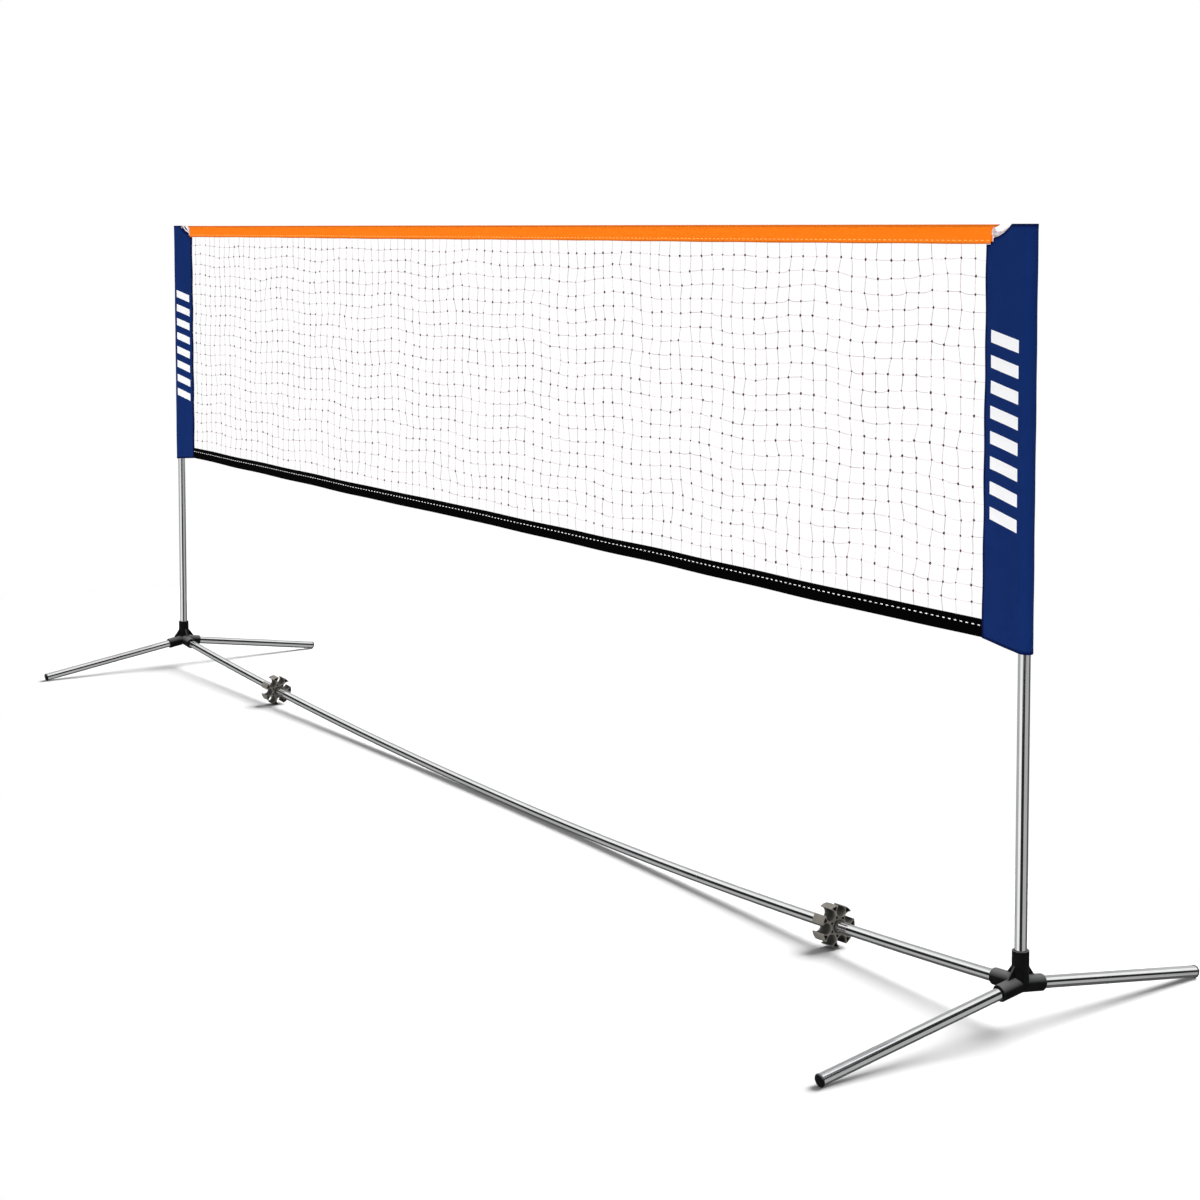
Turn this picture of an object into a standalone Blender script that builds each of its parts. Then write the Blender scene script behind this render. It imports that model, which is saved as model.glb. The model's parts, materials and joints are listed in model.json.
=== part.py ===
"""Portable badminton net set: two tube stands, a bent ground bar, telescopic posts and a sewn net.

Metres, +Z up. The origin is on the floor under the middle of the ground bar, +X runs
along the bar to the right stand and +Y runs away from the side that faces the viewer.
"""

import math

import bmesh
import bpy
from mathutils import Matrix, Vector

# Overall sizes
POST_SPACING = 4.10
TOP_Z = 1.55
HUB_Z = 0.088
FOOT_REACH = 0.51

# Steel tubes
TUBE_R = 0.012
TUBE_WALL = 0.0009
UPPER_R = 0.0105
UPPER_WALL = 0.0008
SIDES = 24
GAP = 0.0003

# Connector
SOCKET_R = 0.0168
POST_SOCKET = 0.066
BAR_SOCKET = 0.069
FOOT_SOCKET = 0.057
BORE_START = 0.016
MOUTH_R = 0.0132
MOUTH_DEPTH = 0.0012
GUSSET_THICKNESS = 0.0042
GUSSET_RISE = 0.043
GUSSET_RUN = 0.042
GUSSET_TOE = 0.004

# Foot end plugs, pushed into the tubes up to their domed heads
PLUG_HEAD_R = 0.0128
PLUG_HEAD = 0.006
PLUG_STEM = 0.018
PLUG_DOME = ((0.0, 0.006), (0.0046, 0.0059), (0.0082, 0.0054), (0.0109, 0.0045), (0.0123, 0.0033))
FOOT_TIP_Z = 0.0111

# Ground bar: two half parabolas that meet where the bar settles on the floor
BAR_LOW_Z = TUBE_R + 0.0005
BAR_LOW_X = 0.25
BAR_SECTIONS = 4
BAR_SEAM = 0.0004
BAR_STEPS = 7
BAR_FINE = 8
FERRULE_LENGTH = 0.10
FERRULE_GAP = 0.0006

# Telescopic joint
LOWER_TOP_Z = 0.828
UPPER_BOTTOM_Z = 0.8088
UPPER_TOP_Z = 1.5365
GUIDE_BOTTOM_Z = 0.8055
GUIDE_STEM = 0.015
COLLET_TOP_Z = 0.8358
COLLET_SLIT = 0.0012
COLLAR_BOTTOM_Z = 0.796
COLLAR_TOP_Z = 0.8375
COLLAR_R = 0.0142
COLLAR_RIB = 0.0004
COLLAR_RIBS = 12

# Post cap and the rope that is tied in its groove
CAP_GROOVE_R = 0.0061
CAP_GROOVE_LOW_Z = 1.5385
CAP_GROOVE_HIGH_Z = 1.5431
CAP_STEM = 0.016
ROPE_R = 0.002
ROPE_LOOP_R = 0.0085

# The rope's way under the notch's edge, as (distance in from the post's axis, height)
ROPE_DIP = (
    (0.026, 1.5408),
    (0.040, 1.5450),
    (0.0495, 1.5475),
    (0.057, 1.5462),
    (0.065, 1.5403),
    (0.075, 1.5337),
    (0.084, 1.5289),
    (0.0895, 1.5268),
    (0.0922, 1.5300),
    (0.0930, 1.5365),
    (0.0948, 1.5428),
)
ROPE_LEVEL = (0.0978, 0.1020)

# Storage clips
CLIP_POCKETS = 7
CLIP_FIRST = math.radians(-78)
CLIP_LENGTH = 0.036
CLIP_CENTRE_R = 0.0332
CLIP_POCKET_R = 0.0122
CLIP_OUTER_R = 0.045
CLIP_WALL = 0.0020
CLIP_LIP_R = 0.0017
CLIP_APEX_R = 0.0015
CLIP_CORNER_R = 0.0012
CLIP_HOLE_R = 0.0027
CLIP_HOLE_CENTRE_R = 0.0200
LEFT_CLIP_X = -1.29
RIGHT_CLIP_X = 1.495

# Net, tapes and sleeves
SHEET = 0.0010
NET_HALF_Y = 0.0006
NET_GAPS_X = 33
NET_GAPS_Z = 6
NET_STRAND = 0.0035
NET_EDGE_X = 1.9495
NET_OPEN_X = 1.9318
NET_TOP_Z = 1.516
NET_BOTTOM_Z = 0.773
TOP_TAPE_LOW_Z = 1.5105
TOP_TAPE_HIGH_Z = 1.549
TOP_TAPE_END_X = 1.950
BOTTOM_TAPE_LOW_Z = 0.743
BOTTOM_TAPE_HIGH_Z = 0.779
BOTTOM_TAPE_END_X = 1.9363
TAPE_GAP = 0.0009
SLEEVE_R = 0.0152
SLEEVE_REACH = 0.1132
SLEEVE_OUTER_LOW_Z = 0.731
SLEEVE_INNER_LOW_Z = 0.743
NOTCH_CENTRE = (0.1309, 1.6251)
NOTCH_RADII = (0.110, 0.110)
NOTCH_STEP_X = 0.0912
NOTCH_SHELF_X = 0.0996
NOTCH_SHELF_Z = 1.516
NOTCH_STEP_Z = 1.5097

POST_X = POST_SPACING / 2
SIDE_OF = {"left": -1, "right": 1}

# Colours as base colour, roughness and metallic
FINISHES = {
    "steel": ((0.78, 0.79, 0.80), 0.16, 1.0),
    "black_plastic": ((0.012, 0.012, 0.013), 0.42, 0.0),
    "grey_plastic": ((0.070, 0.066, 0.056), 0.5, 0.0),
    "navy_cloth": ((0.008, 0.022, 0.125), 0.85, 0.0),
    "orange_tape": ((0.96, 0.205, 0.012), 0.75, 0.0),
    "black_tape": ((0.006, 0.006, 0.007), 0.8, 0.0),
    "net_cord": ((0.20, 0.14, 0.15), 0.85, 0.0),
    "white_rope": ((0.86, 0.85, 0.83), 0.8, 0.0),
}


def remove_all():
    for obj in list(bpy.data.objects):
        bpy.data.objects.remove(obj, do_unlink=True)


def new_collection(name):
    made = bpy.data.collections.new(name)
    bpy.context.scene.collection.children.link(made)
    return made


remove_all()
PARTS = new_collection("badminton_net_set")
CUTTERS = new_collection("cutters")


def add_object(name, data, place, cutter=False):
    """An object with its world placement, in the parts' or the cutters' collection."""
    obj = bpy.data.objects.new(name, data)
    obj.matrix_basis = place
    (CUTTERS if cutter else PARTS).objects.link(obj)
    if cutter:
        obj.hide_render = True
        obj.display_type = "WIRE"
    return obj


def give_material(obj, finish):
    colour, roughness, metallic = FINISHES[finish]
    material = bpy.data.materials.new(f"{obj.name}_{finish}")
    material.use_nodes = True
    shader = material.node_tree.nodes["Principled BSDF"]
    shader.inputs["Base Color"].default_value = (*colour, 1.0)
    shader.inputs["Roughness"].default_value = roughness
    shader.inputs["Metallic"].default_value = metallic
    obj.data.materials.clear()
    obj.data.materials.append(material)


def carry(obj, axis):
    """Parents a moving piece to the empty on its joint, without moving it."""
    obj.parent = axis
    obj.matrix_parent_inverse = axis.matrix_basis.inverted()


def axis_empty(name, place):
    empty = bpy.data.objects.new(name, None)
    empty.matrix_basis = place
    empty.empty_display_size = 0.05
    PARTS.objects.link(empty)
    return empty


def looking_along(point, direction):
    """A placement at a point, whose local Z runs along a direction."""
    turn = Vector(direction).to_track_quat("Z", "X").to_matrix().to_4x4()
    return Matrix.Translation(point) @ turn


def axes_at(point, x_axis, y_axis):
    """A placement at a point, given by its local X and Y directions."""
    x_axis, y_axis = Vector(x_axis).normalized(), Vector(y_axis).normalized()
    turn = Matrix((x_axis, y_axis, x_axis.cross(y_axis))).transposed().to_4x4()
    return Matrix.Translation(point) @ turn


def smooth(mesh, angle=35):
    mesh.shade_smooth()
    mesh.set_sharp_from_angle(angle=math.radians(angle))


def turned(name, profile, place, ring=False, cutter=False, steps=SIDES):
    """A profile of (radius, height) points, from top to bottom outside, turned about local Z."""
    mesh = bpy.data.meshes.new(name)
    count = len(profile)
    edges = [(i, (i + 1) % count) for i in range(count if ring else count - 1)]
    mesh.from_pydata([(r, 0.0, z) for r, z in profile], edges, [])
    obj = add_object(name, mesh, place, cutter)
    screw = obj.modifiers.new("turn", "SCREW")
    screw.steps = screw.render_steps = steps
    screw.use_merge_vertices = True
    screw.merge_threshold = 1e-5
    screw.use_smooth_shade = True
    return obj


def tube(name, start, end, outer, wall, steps=SIDES):
    """A straight open tube between two points."""
    start, end = Vector(start), Vector(end)
    length, inner = (end - start).length, outer - wall
    profile = [(outer, length), (outer, 0.0), (inner, 0.0), (inner, length)]
    return turned(name, profile, looking_along(start, end - start), ring=True, steps=steps)


def rod(name, start, end, radius, cutter=False, steps=SIDES):
    """A straight solid cylinder between two points."""
    start, end = Vector(start), Vector(end)
    mesh = bpy.data.meshes.new(name)
    shape = bmesh.new()
    length = (end - start).length
    lift = Matrix.Translation((0, 0, length / 2))
    bmesh.ops.create_cone(
        shape, cap_ends=True, segments=steps, radius1=radius, radius2=radius, depth=length, matrix=lift
    )
    shape.to_mesh(mesh)
    shape.free()
    smooth(mesh)
    return add_object(name, mesh, looking_along(start, end - start), cutter)


def box(name, low, high, cutter=False):
    low, high = Vector(low), Vector(high)
    mesh = bpy.data.meshes.new(name)
    shape = bmesh.new()
    size = Matrix.Diagonal((*(high - low), 1.0))
    bmesh.ops.create_cube(shape, size=1.0, matrix=size)
    shape.to_mesh(mesh)
    shape.free()
    return add_object(name, mesh, Matrix.Translation((low + high) / 2), cutter)


def flat_shape(name, outlines, thickness, place, cutter=False):
    """Closed outlines in local XY, filled and made thick along local Z."""
    curve = bpy.data.curves.new(name, "CURVE")
    curve.dimensions = "2D"
    curve.fill_mode = "BOTH"
    curve.extrude = thickness / 2
    for outline in outlines:
        spline = curve.splines.new("POLY")
        spline.points.add(len(outline) - 1)
        for point, (x, y) in zip(spline.points, outline):
            point.co = (x, y, 0.0, 1.0)
        spline.use_cyclic_u = True
    return add_object(name, curve, place, cutter)


def path_tube(name, points, radius, fine=2):
    """A round rod along a list of world points."""
    curve = bpy.data.curves.new(name, "CURVE")
    curve.dimensions = "3D"
    curve.bevel_depth = radius
    curve.bevel_resolution = fine
    curve.use_fill_caps = True
    spline = curve.splines.new("POLY")
    spline.points.add(len(points) - 1)
    for point, where in zip(spline.points, points):
        point.co = (*where, 1.0)
    return add_object(name, curve, Matrix.Identity(4))


def as_mesh(obj, smooth_angle=35):
    """Turns a curve object into a mesh object of the same name, with its caps welded on."""
    bpy.context.view_layer.update()
    evaluated = obj.evaluated_get(bpy.context.evaluated_depsgraph_get())
    mesh = bpy.data.meshes.new_from_object(evaluated)
    shape = bmesh.new()
    shape.from_mesh(mesh)
    bmesh.ops.remove_doubles(shape, verts=shape.verts, dist=1e-6)
    bmesh.ops.recalc_face_normals(shape, faces=shape.faces)
    shape.to_mesh(mesh)
    shape.free()
    smooth(mesh, smooth_angle)
    name, place, cutter = obj.name, obj.matrix_basis.copy(), obj.hide_render
    bpy.data.objects.remove(obj, do_unlink=True)
    return add_object(name, mesh, place, cutter)


def combine(obj, operation, others):
    """Adds one exact Boolean modifier for each of the other solids."""
    for other in others:
        modifier = obj.modifiers.new(operation.lower(), "BOOLEAN")
        modifier.operation = operation
        modifier.solver = "EXACT"
        modifier.object = other
    return obj


def arc(centre, radius, start, end, steps):
    """Points on an arc between two angles, both ends included."""
    angles = [start + (end - start) * i / steps for i in range(steps + 1)]
    return [(centre[0] + radius * math.cos(a), centre[1] + radius * math.sin(a)) for a in angles]


# Ground bar geometry


def bar_span(x):
    """The run from the bar's low point to the hub on the same side."""
    return POST_X - BAR_LOW_X if x > BAR_LOW_X else POST_X + BAR_LOW_X


def bar_z(x):
    return BAR_LOW_Z + (HUB_Z - BAR_LOW_Z) * ((x - BAR_LOW_X) / bar_span(x)) ** 2


def bar_direction(x):
    slope = 2 * (HUB_Z - BAR_LOW_Z) * (x - BAR_LOW_X) / bar_span(x) ** 2
    return Vector((1.0, 0.0, slope)).normalized()


# Feet geometry

FOOT_SLOPE = math.asin((HUB_Z - FOOT_TIP_Z) / FOOT_REACH)


def foot_direction(forward):
    """Unit vector down a foot, forward is -1 towards the viewer and +1 away."""
    return Vector((0.0, forward * math.cos(FOOT_SLOPE), -math.sin(FOOT_SLOPE)))


def hub_point(side):
    return Vector((side * POST_X, 0.0, HUB_Z))


def gusset(name, hub, direction):
    """A triangular web between the post socket and a socket that runs along a direction."""
    flat = Vector((direction.x, direction.y, 0.0))
    outline = [
        (0.0, -GUSSET_TOE),
        (GUSSET_RUN, -GUSSET_TOE),
        (GUSSET_RUN, GUSSET_TOE),
        (SOCKET_R - GUSSET_TOE, GUSSET_RISE),
        (0.0, GUSSET_RISE),
    ]
    place = axes_at(hub, flat, (0, 0, 1))
    return as_mesh(flat_shape(name, [outline], GUSSET_THICKNESS, place, cutter=True))


def bore_profile(length):
    """The space inside a socket, flared at its mouth and run on past it."""
    radius, past = TUBE_R + GAP, 0.01
    flare = (MOUTH_R - radius) * past / MOUTH_DEPTH
    return [
        (0.0, length + past),
        (MOUTH_R + flare, length + past),
        (radius, length - MOUTH_DEPTH),
        (radius, BORE_START),
        (0.0, BORE_START),
    ]


def make_connector(label, side):
    """The four-way plastic hub, with a socket for the post, the ground bar and both feet."""
    hub = hub_point(side)
    arms = [
        (Vector((0, 0, 1)), POST_SOCKET),
        (-side * bar_direction(side * POST_X), BAR_SOCKET),
        (foot_direction(-1), FOOT_SOCKET),
        (foot_direction(1), FOOT_SOCKET),
    ]
    up, length = arms[0]
    body = rod(f"{label}_connector", hub - up * 0.5 * SOCKET_R, hub + up * length, SOCKET_R)
    added, bores = [], []
    for number, (way, length) in enumerate(arms):
        tag = f"{label}_arm_{number}"
        if number:
            added.append(rod(tag, hub, hub + way * length, SOCKET_R, cutter=True))
            added.append(gusset(f"{tag}_web", hub, way))
        bores.append(turned(f"{tag}_bore", bore_profile(length), looking_along(hub, way), cutter=True))
    combine(body, "UNION", added)
    combine(body, "DIFFERENCE", bores)
    give_material(body, "black_plastic")


def make_foot(label, side, forward):
    """One sloping foot tube with its end plug, whose head is cut flat where it stands."""
    hub, way = hub_point(side), foot_direction(forward)
    head = FOOT_REACH - PLUG_HEAD
    start, end = hub + way * (BORE_START + GAP), hub + way * (head - GAP)
    foot = tube(f"{label}_foot", start, end, TUBE_R, TUBE_WALL)
    give_material(foot, "steel")
    stem_r = TUBE_R - TUBE_WALL - GAP
    profile = [(radius, PLUG_STEM + height) for radius, height in PLUG_DOME]
    profile += [
        (PLUG_HEAD_R, PLUG_STEM + 0.002),
        (PLUG_HEAD_R, PLUG_STEM),
        (stem_r, PLUG_STEM),
        (stem_r, 0.0),
        (0.0, 0.0),
    ]
    plug = turned(f"{label}_foot_cap", profile, looking_along(hub + way * (head - PLUG_STEM), way))
    tip = hub + way * FOOT_REACH
    floor_low = (tip.x - 0.05, tip.y - 0.06, -0.02)
    floor_high = (tip.x + 0.05, tip.y + 0.06, 0.0)
    combine(plug, "DIFFERENCE", [box(f"{label}_foot_floor", floor_low, floor_high, cutter=True)])
    give_material(plug, "black_plastic")


def make_crossbar():
    """The ground bar: bent tube sections, with a ferrule inside each joint."""
    reach = POST_X - BORE_START - GAP
    section = 2 * reach / BAR_SECTIONS
    for number in range(BAR_SECTIONS):
        start = -reach + number * section + (BAR_SEAM / 2 if number else 0.0)
        end = -reach + (number + 1) * section - (BAR_SEAM / 2 if number < BAR_SECTIONS - 1 else 0.0)
        xs = [start + (end - start) * i / BAR_STEPS for i in range(BAR_STEPS + 1)]
        bar = path_tube(f"crossbar_tube_{number + 1}", [(x, 0.0, bar_z(x)) for x in xs], TUBE_R, BAR_FINE)
        bar.data.use_fill_caps = False
        wall = bar.modifiers.new("wall", "SOLIDIFY")
        wall.thickness = TUBE_WALL
        wall.offset = -1.0
        give_material(bar, "steel")
    for number in range(1, BAR_SECTIONS):
        x = -reach + number * section
        centre, way = Vector((x, 0.0, bar_z(x))), bar_direction(x)
        half = way * FERRULE_LENGTH / 2
        name, outer = f"crossbar_ferrule_{number}", TUBE_R - TUBE_WALL - FERRULE_GAP
        give_material(tube(name, centre - half, centre + half, outer, TUBE_WALL, steps=16), "steel")


def make_lower_post(label, side):
    """The fixed tube, with the split collet that sits on its upper end."""
    x = side * POST_X
    low = HUB_Z + BORE_START + GAP
    give_material(tube(f"{label}_lower_post", (x, 0, low), (x, 0, LOWER_TOP_Z), TUBE_R, TUBE_WALL), "steel")
    start = LOWER_TOP_Z + GAP
    outer, inner, height = TUBE_R, UPPER_R + GAP, COLLET_TOP_Z - start
    profile = [(outer - 0.0004, height), (outer, 0.0), (inner, 0.0), (inner, height)]
    collet = turned(f"{label}_lock_collet", profile, Matrix.Translation((x, 0, start)), ring=True)
    slit = COLLET_SLIT / 2
    low_corner = (x - slit, -TUBE_R - 0.005, start - 0.005)
    high_corner = (x + slit, 0.0, COLLET_TOP_Z + 0.005)
    combine(collet, "DIFFERENCE", [box(f"{label}_collet_slit", low_corner, high_corner, cutter=True)])
    give_material(collet, "black_plastic")


def make_lock_collar(label, side):
    """The ribbed twist collar that squeezes the collet on the sliding tube."""
    x = side * POST_X
    place = Matrix.Translation((x, 0, (COLLAR_BOTTOM_Z + COLLAR_TOP_Z) / 2))
    count = COLLAR_RIBS * 4
    angles = [2 * math.pi * i / count for i in range(count)]
    radii = [COLLAR_R + COLLAR_RIB * math.cos(COLLAR_RIBS * a) for a in angles]
    outline = [(r * math.cos(a), r * math.sin(a)) for r, a in zip(radii, angles)]
    collar = as_mesh(flat_shape(f"{label}_lock_collar", [outline], COLLAR_TOP_Z - COLLAR_BOTTOM_Z, place), 50)
    wide, narrow = TUBE_R + GAP, UPPER_R + GAP + 0.0001
    shelf = COLLET_TOP_Z + GAP
    over = 0.01
    profile = [
        (0.0, COLLAR_TOP_Z + over),
        (narrow, COLLAR_TOP_Z + over),
        (narrow, shelf),
        (wide, shelf),
        (wide, COLLAR_BOTTOM_Z - over),
        (0.0, COLLAR_BOTTOM_Z - over),
    ]
    bore = turned(f"{label}_collar_bore", profile, Matrix.Translation((x, 0, 0)), cutter=True)
    combine(collar, "DIFFERENCE", [bore])
    give_material(collar, "black_plastic")
    carry(collar, axis_empty(f"{label}_lock_axis", Matrix.Translation((x, 0, COLLAR_BOTTOM_Z))))


def make_upper_post(label, side, axis):
    """The sliding tube, with its guide plug below and its grooved cap on top."""
    x = side * POST_X
    post = tube(f"{label}_upper_post", (x, 0, UPPER_BOTTOM_Z), (x, 0, UPPER_TOP_Z), UPPER_R, UPPER_WALL)
    give_material(post, "steel")
    stem_r, guide_r = UPPER_R - UPPER_WALL - GAP, UPPER_R + GAP
    shoulder = UPPER_BOTTOM_Z - GAP
    plug_profile = [
        (0.0, shoulder + GUIDE_STEM),
        (stem_r, shoulder + GUIDE_STEM),
        (stem_r, shoulder),
        (guide_r, shoulder),
        (guide_r, GUIDE_BOTTOM_Z),
        (0.0, GUIDE_BOTTOM_Z),
    ]
    place = Matrix.Translation((x, 0, 0))
    plug = turned(f"{label}_guide_plug", plug_profile, place, steps=20)
    give_material(plug, "black_plastic")
    flange = UPPER_TOP_Z + GAP
    dome = 0.0025
    cap_profile = [
        (0.0, TOP_Z),
        (UPPER_R - dome, TOP_Z),
        (UPPER_R, TOP_Z - dome),
        (UPPER_R, CAP_GROOVE_HIGH_Z),
        (CAP_GROOVE_R, CAP_GROOVE_HIGH_Z),
        (CAP_GROOVE_R, CAP_GROOVE_LOW_Z),
        (UPPER_R, CAP_GROOVE_LOW_Z),
        (UPPER_R, flange),
        (stem_r, flange),
        (stem_r, flange - CAP_STEM),
        (0.0, flange - CAP_STEM),
    ]
    cap = turned(f"{label}_post_cap", cap_profile, place, steps=20)
    give_material(cap, "black_plastic")
    for piece in (post, plug, cap):
        carry(piece, axis)


def polar(radius, angle):
    return (radius * math.cos(angle), radius * math.sin(angle))


def clip_angle(radius, pocket_distance):
    """The angle from a pocket's middle line of the point at both distances, from the hub and the pocket."""
    along = (radius**2 - pocket_distance**2 + CLIP_CENTRE_R**2) / (2 * CLIP_CENTRE_R)
    return math.acos(along / radius)


def seen_from_pocket(radius, angle):
    """The direction of a point from a pocket's centre, both angles from the pocket's middle line."""
    return math.atan2(radius * math.sin(angle), radius * math.cos(angle) - CLIP_CENTRE_R)


def clip_outline():
    """Once round the clip: each pocket between its two rounded lips, then the next tooth's blunt end."""
    lip_at = CLIP_OUTER_R - CLIP_LIP_R
    lip_angle = clip_angle(lip_at, CLIP_POCKET_R + CLIP_LIP_R)
    opening = seen_from_pocket(lip_at, lip_angle)
    pitch = 2 * math.pi / CLIP_POCKETS
    outline = []
    for number in range(CLIP_POCKETS):
        facing = CLIP_FIRST + number * pitch
        before, after = facing - lip_angle, facing + lip_angle
        outline += arc(polar(lip_at, before), CLIP_LIP_R, before, facing + math.pi - opening, 4)
        pocket = polar(CLIP_CENTRE_R, facing)
        outline += arc(pocket, CLIP_POCKET_R, facing - opening, facing + opening - 2 * math.pi, 16)[1:-1]
        outline += arc(polar(lip_at, after), CLIP_LIP_R, facing - math.pi + opening, after, 4)
        outline += arc((0.0, 0.0), CLIP_OUTER_R, after, before + pitch, 4)[1:-1]
    return outline


def tooth_hole(number):
    """The rounded triangular opening in the tooth after a pocket, with an even wall all round."""
    half = math.pi / CLIP_POCKETS
    middle = CLIP_FIRST + (2 * number + 1) * half
    corner_at = CLIP_OUTER_R - CLIP_WALL - CLIP_CORNER_R
    corner_angle = clip_angle(corner_at, CLIP_POCKET_R + CLIP_WALL + CLIP_CORNER_R)
    opening = seen_from_pocket(corner_at, corner_angle)
    low, high = middle - half + corner_angle, middle + half - corner_angle
    across = CLIP_CENTRE_R * math.sin(half)
    rise = math.sqrt((CLIP_POCKET_R + CLIP_WALL + CLIP_APEX_R) ** 2 - across**2)
    lean = math.atan2(across, rise)
    apex = polar(CLIP_CENTRE_R * math.cos(half) + rise, middle)
    points = arc(apex, CLIP_APEX_R, middle + math.pi - lean, middle + math.pi + lean, 4)
    points += arc(polar(corner_at, low), CLIP_CORNER_R, middle - half + opening - math.pi, low, 3)
    points += arc((0.0, 0.0), CLIP_OUTER_R - CLIP_WALL, low, high, 3)[1:-1]
    points += arc(polar(corner_at, high), CLIP_CORNER_R, high, middle + half - opening + math.pi, 3)
    return points[::-1]


def make_clip(label, x):
    """A seven-pocket storage clip, threaded on the ground bar."""
    way = bar_direction(x)
    place = axes_at((x, 0.0, bar_z(x)), (0, 1, 0), way.cross(Vector((0, 1, 0))))
    holes = [arc((0.0, 0.0), TUBE_R + GAP, 2 * math.pi, 0.0, SIDES)[:-1]]
    for number in range(CLIP_POCKETS):
        between = CLIP_FIRST + 2 * math.pi * (number + 0.5) / CLIP_POCKETS
        holes.append(arc(polar(CLIP_HOLE_CENTRE_R, between), CLIP_HOLE_R, 2 * math.pi, 0.0, 8)[:-1])
        holes.append(tooth_hole(number))
    clip = as_mesh(flat_shape(f"{label}_storage_clip", [clip_outline(), *holes], CLIP_LENGTH, place))
    give_material(clip, "grey_plastic")
    carry(clip, axis_empty(f"{label}_clip_axis", place))


def fold_loop(radius, gap, reach, steps):
    """One face of a narrow fold: round the pocket, then along both flaps to the reach."""
    lean = math.radians(60)
    join_x = (radius - gap * math.sin(lean)) / math.cos(lean)
    flap = [(reach, gap), (join_x, gap)]
    turn = arc((0.0, 0.0), radius, lean, 2 * math.pi - lean, steps)
    return flap + turn + [(x, -y) for x, y in reversed(flap)]


def wrap_loop(radius, gap, reach, steps):
    """One face of a cloth that is pulled straight from round a tube to its seam at the reach."""
    lean = math.atan2(gap, reach) + math.acos(radius / math.hypot(reach, gap))
    turn = arc((0.0, 0.0), radius, lean, 2 * math.pi - lean, steps)
    return [(reach, gap), *turn, (reach, -gap)]


def folded_outline(loop, pocket_r, gap, reach, steps):
    """A sheet folded round a pocket at the origin, with both its flaps running along +X."""
    inside = loop(pocket_r, gap, reach, steps)
    outside = loop(pocket_r + SHEET, gap + SHEET, reach, steps)
    return outside + inside[::-1]


def make_tapes(axis):
    """The orange tape, folded over the rope, and the black tape, folded under the net."""
    tunnel = ROPE_R + GAP
    centre_z = TOP_TAPE_HIGH_Z - tunnel - SHEET
    outline = folded_outline(fold_loop, tunnel, TAPE_GAP, centre_z - TOP_TAPE_LOW_Z, 10)
    place = axes_at((0, 0, centre_z), (0, 0, -1), (0, 1, 0))
    top = flat_shape("top_tape", [outline], 2 * TOP_TAPE_END_X, place)
    give_material(top, "orange_tape")
    fold = 0.0014
    centre_z = BOTTOM_TAPE_LOW_Z + fold + SHEET
    outline = folded_outline(fold_loop, fold, TAPE_GAP, BOTTOM_TAPE_HIGH_Z - centre_z, 8)
    place = axes_at((0, 0, centre_z), (0, 0, 1), (0, 1, 0))
    bottom = flat_shape("bottom_tape", [outline], 2 * BOTTOM_TAPE_END_X, place)
    give_material(bottom, "black_tape")
    for piece in (top, bottom):
        carry(as_mesh(piece), axis)


def make_net(axis):
    """The net as a flat lattice of wide gaps, with a hem that the tapes and sleeves hold."""
    low, high = BOTTOM_TAPE_HIGH_Z + 0.002, TOP_TAPE_LOW_Z - 0.002
    pitch_x = (2 * NET_OPEN_X + NET_STRAND) / NET_GAPS_X
    pitch_z = (high - low + NET_STRAND) / NET_GAPS_Z
    width, height = pitch_x - NET_STRAND, pitch_z - NET_STRAND
    left, right = -NET_EDGE_X, NET_EDGE_X
    outlines = [[(left, NET_BOTTOM_Z), (right, NET_BOTTOM_Z), (right, NET_TOP_Z), (left, NET_TOP_Z)]]
    for column in range(NET_GAPS_X):
        for row in range(NET_GAPS_Z):
            x, z = -NET_OPEN_X + column * pitch_x, low + row * pitch_z
            outlines.append([(x, z), (x, z + height), (x + width, z + height), (x + width, z)])
    place = axes_at((0, 0, 0), (1, 0, 0), (0, 0, 1))
    net = as_mesh(flat_shape("net_mesh", outlines, 2 * NET_HALF_Y, place))
    give_material(net, "net_cord")
    carry(net, axis)


def make_rope(axis):
    """The headline rope: through the orange tape, down past the notches and round both post caps."""
    loop_z = (CAP_GROOVE_LOW_Z + CAP_GROOVE_HIGH_Z) / 2
    tunnel_z = TOP_TAPE_HIGH_Z - ROPE_R - GAP - SHEET
    half_route = [(POST_X - ROPE_LOOP_R, loop_z)]
    half_route += [(POST_X - inward, z) for inward, z in ROPE_DIP]
    half_route += [(POST_X - inward, tunnel_z) for inward in ROPE_LEVEL]
    half_route += [(0.98, tunnel_z), (0.02, tunnel_z)]
    route = [(-x, 0.0, z) for x, z in half_route] + [(x, 0.0, z) for x, z in reversed(half_route)]
    rope = as_mesh(path_tube("headline_rope", route, ROPE_R, fine=2))
    loops = []
    for label, side in SIDE_OF.items():
        place = Matrix.Translation((side * POST_X, 0, loop_z))
        profile = arc((ROPE_LOOP_R, 0.0), ROPE_R * 0.98, 0.0, -2 * math.pi, 8)[:-1]
        loops.append(turned(f"{label}_rope_loop", profile, place, ring=True, cutter=True, steps=20))
    combine(rope, "UNION", loops)
    give_material(rope, "white_rope")
    carry(rope, axis)


def notch_points(steps):
    """The rounded notch in the sleeve's inner top corner, from the top edge down to its step."""
    centre_x, centre_z = NOTCH_CENTRE
    radius_x, radius_z = NOTCH_RADII
    start = math.pi - math.asin((TOP_Z - centre_z) / radius_z)
    end = 2 * math.pi - math.acos((NOTCH_STEP_X - centre_x) / radius_x)
    angles = [start + (end - start) * i / steps for i in range(steps + 1)]
    return [(centre_x + radius_x * math.cos(a), centre_z + radius_z * math.sin(a)) for a in angles]


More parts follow.
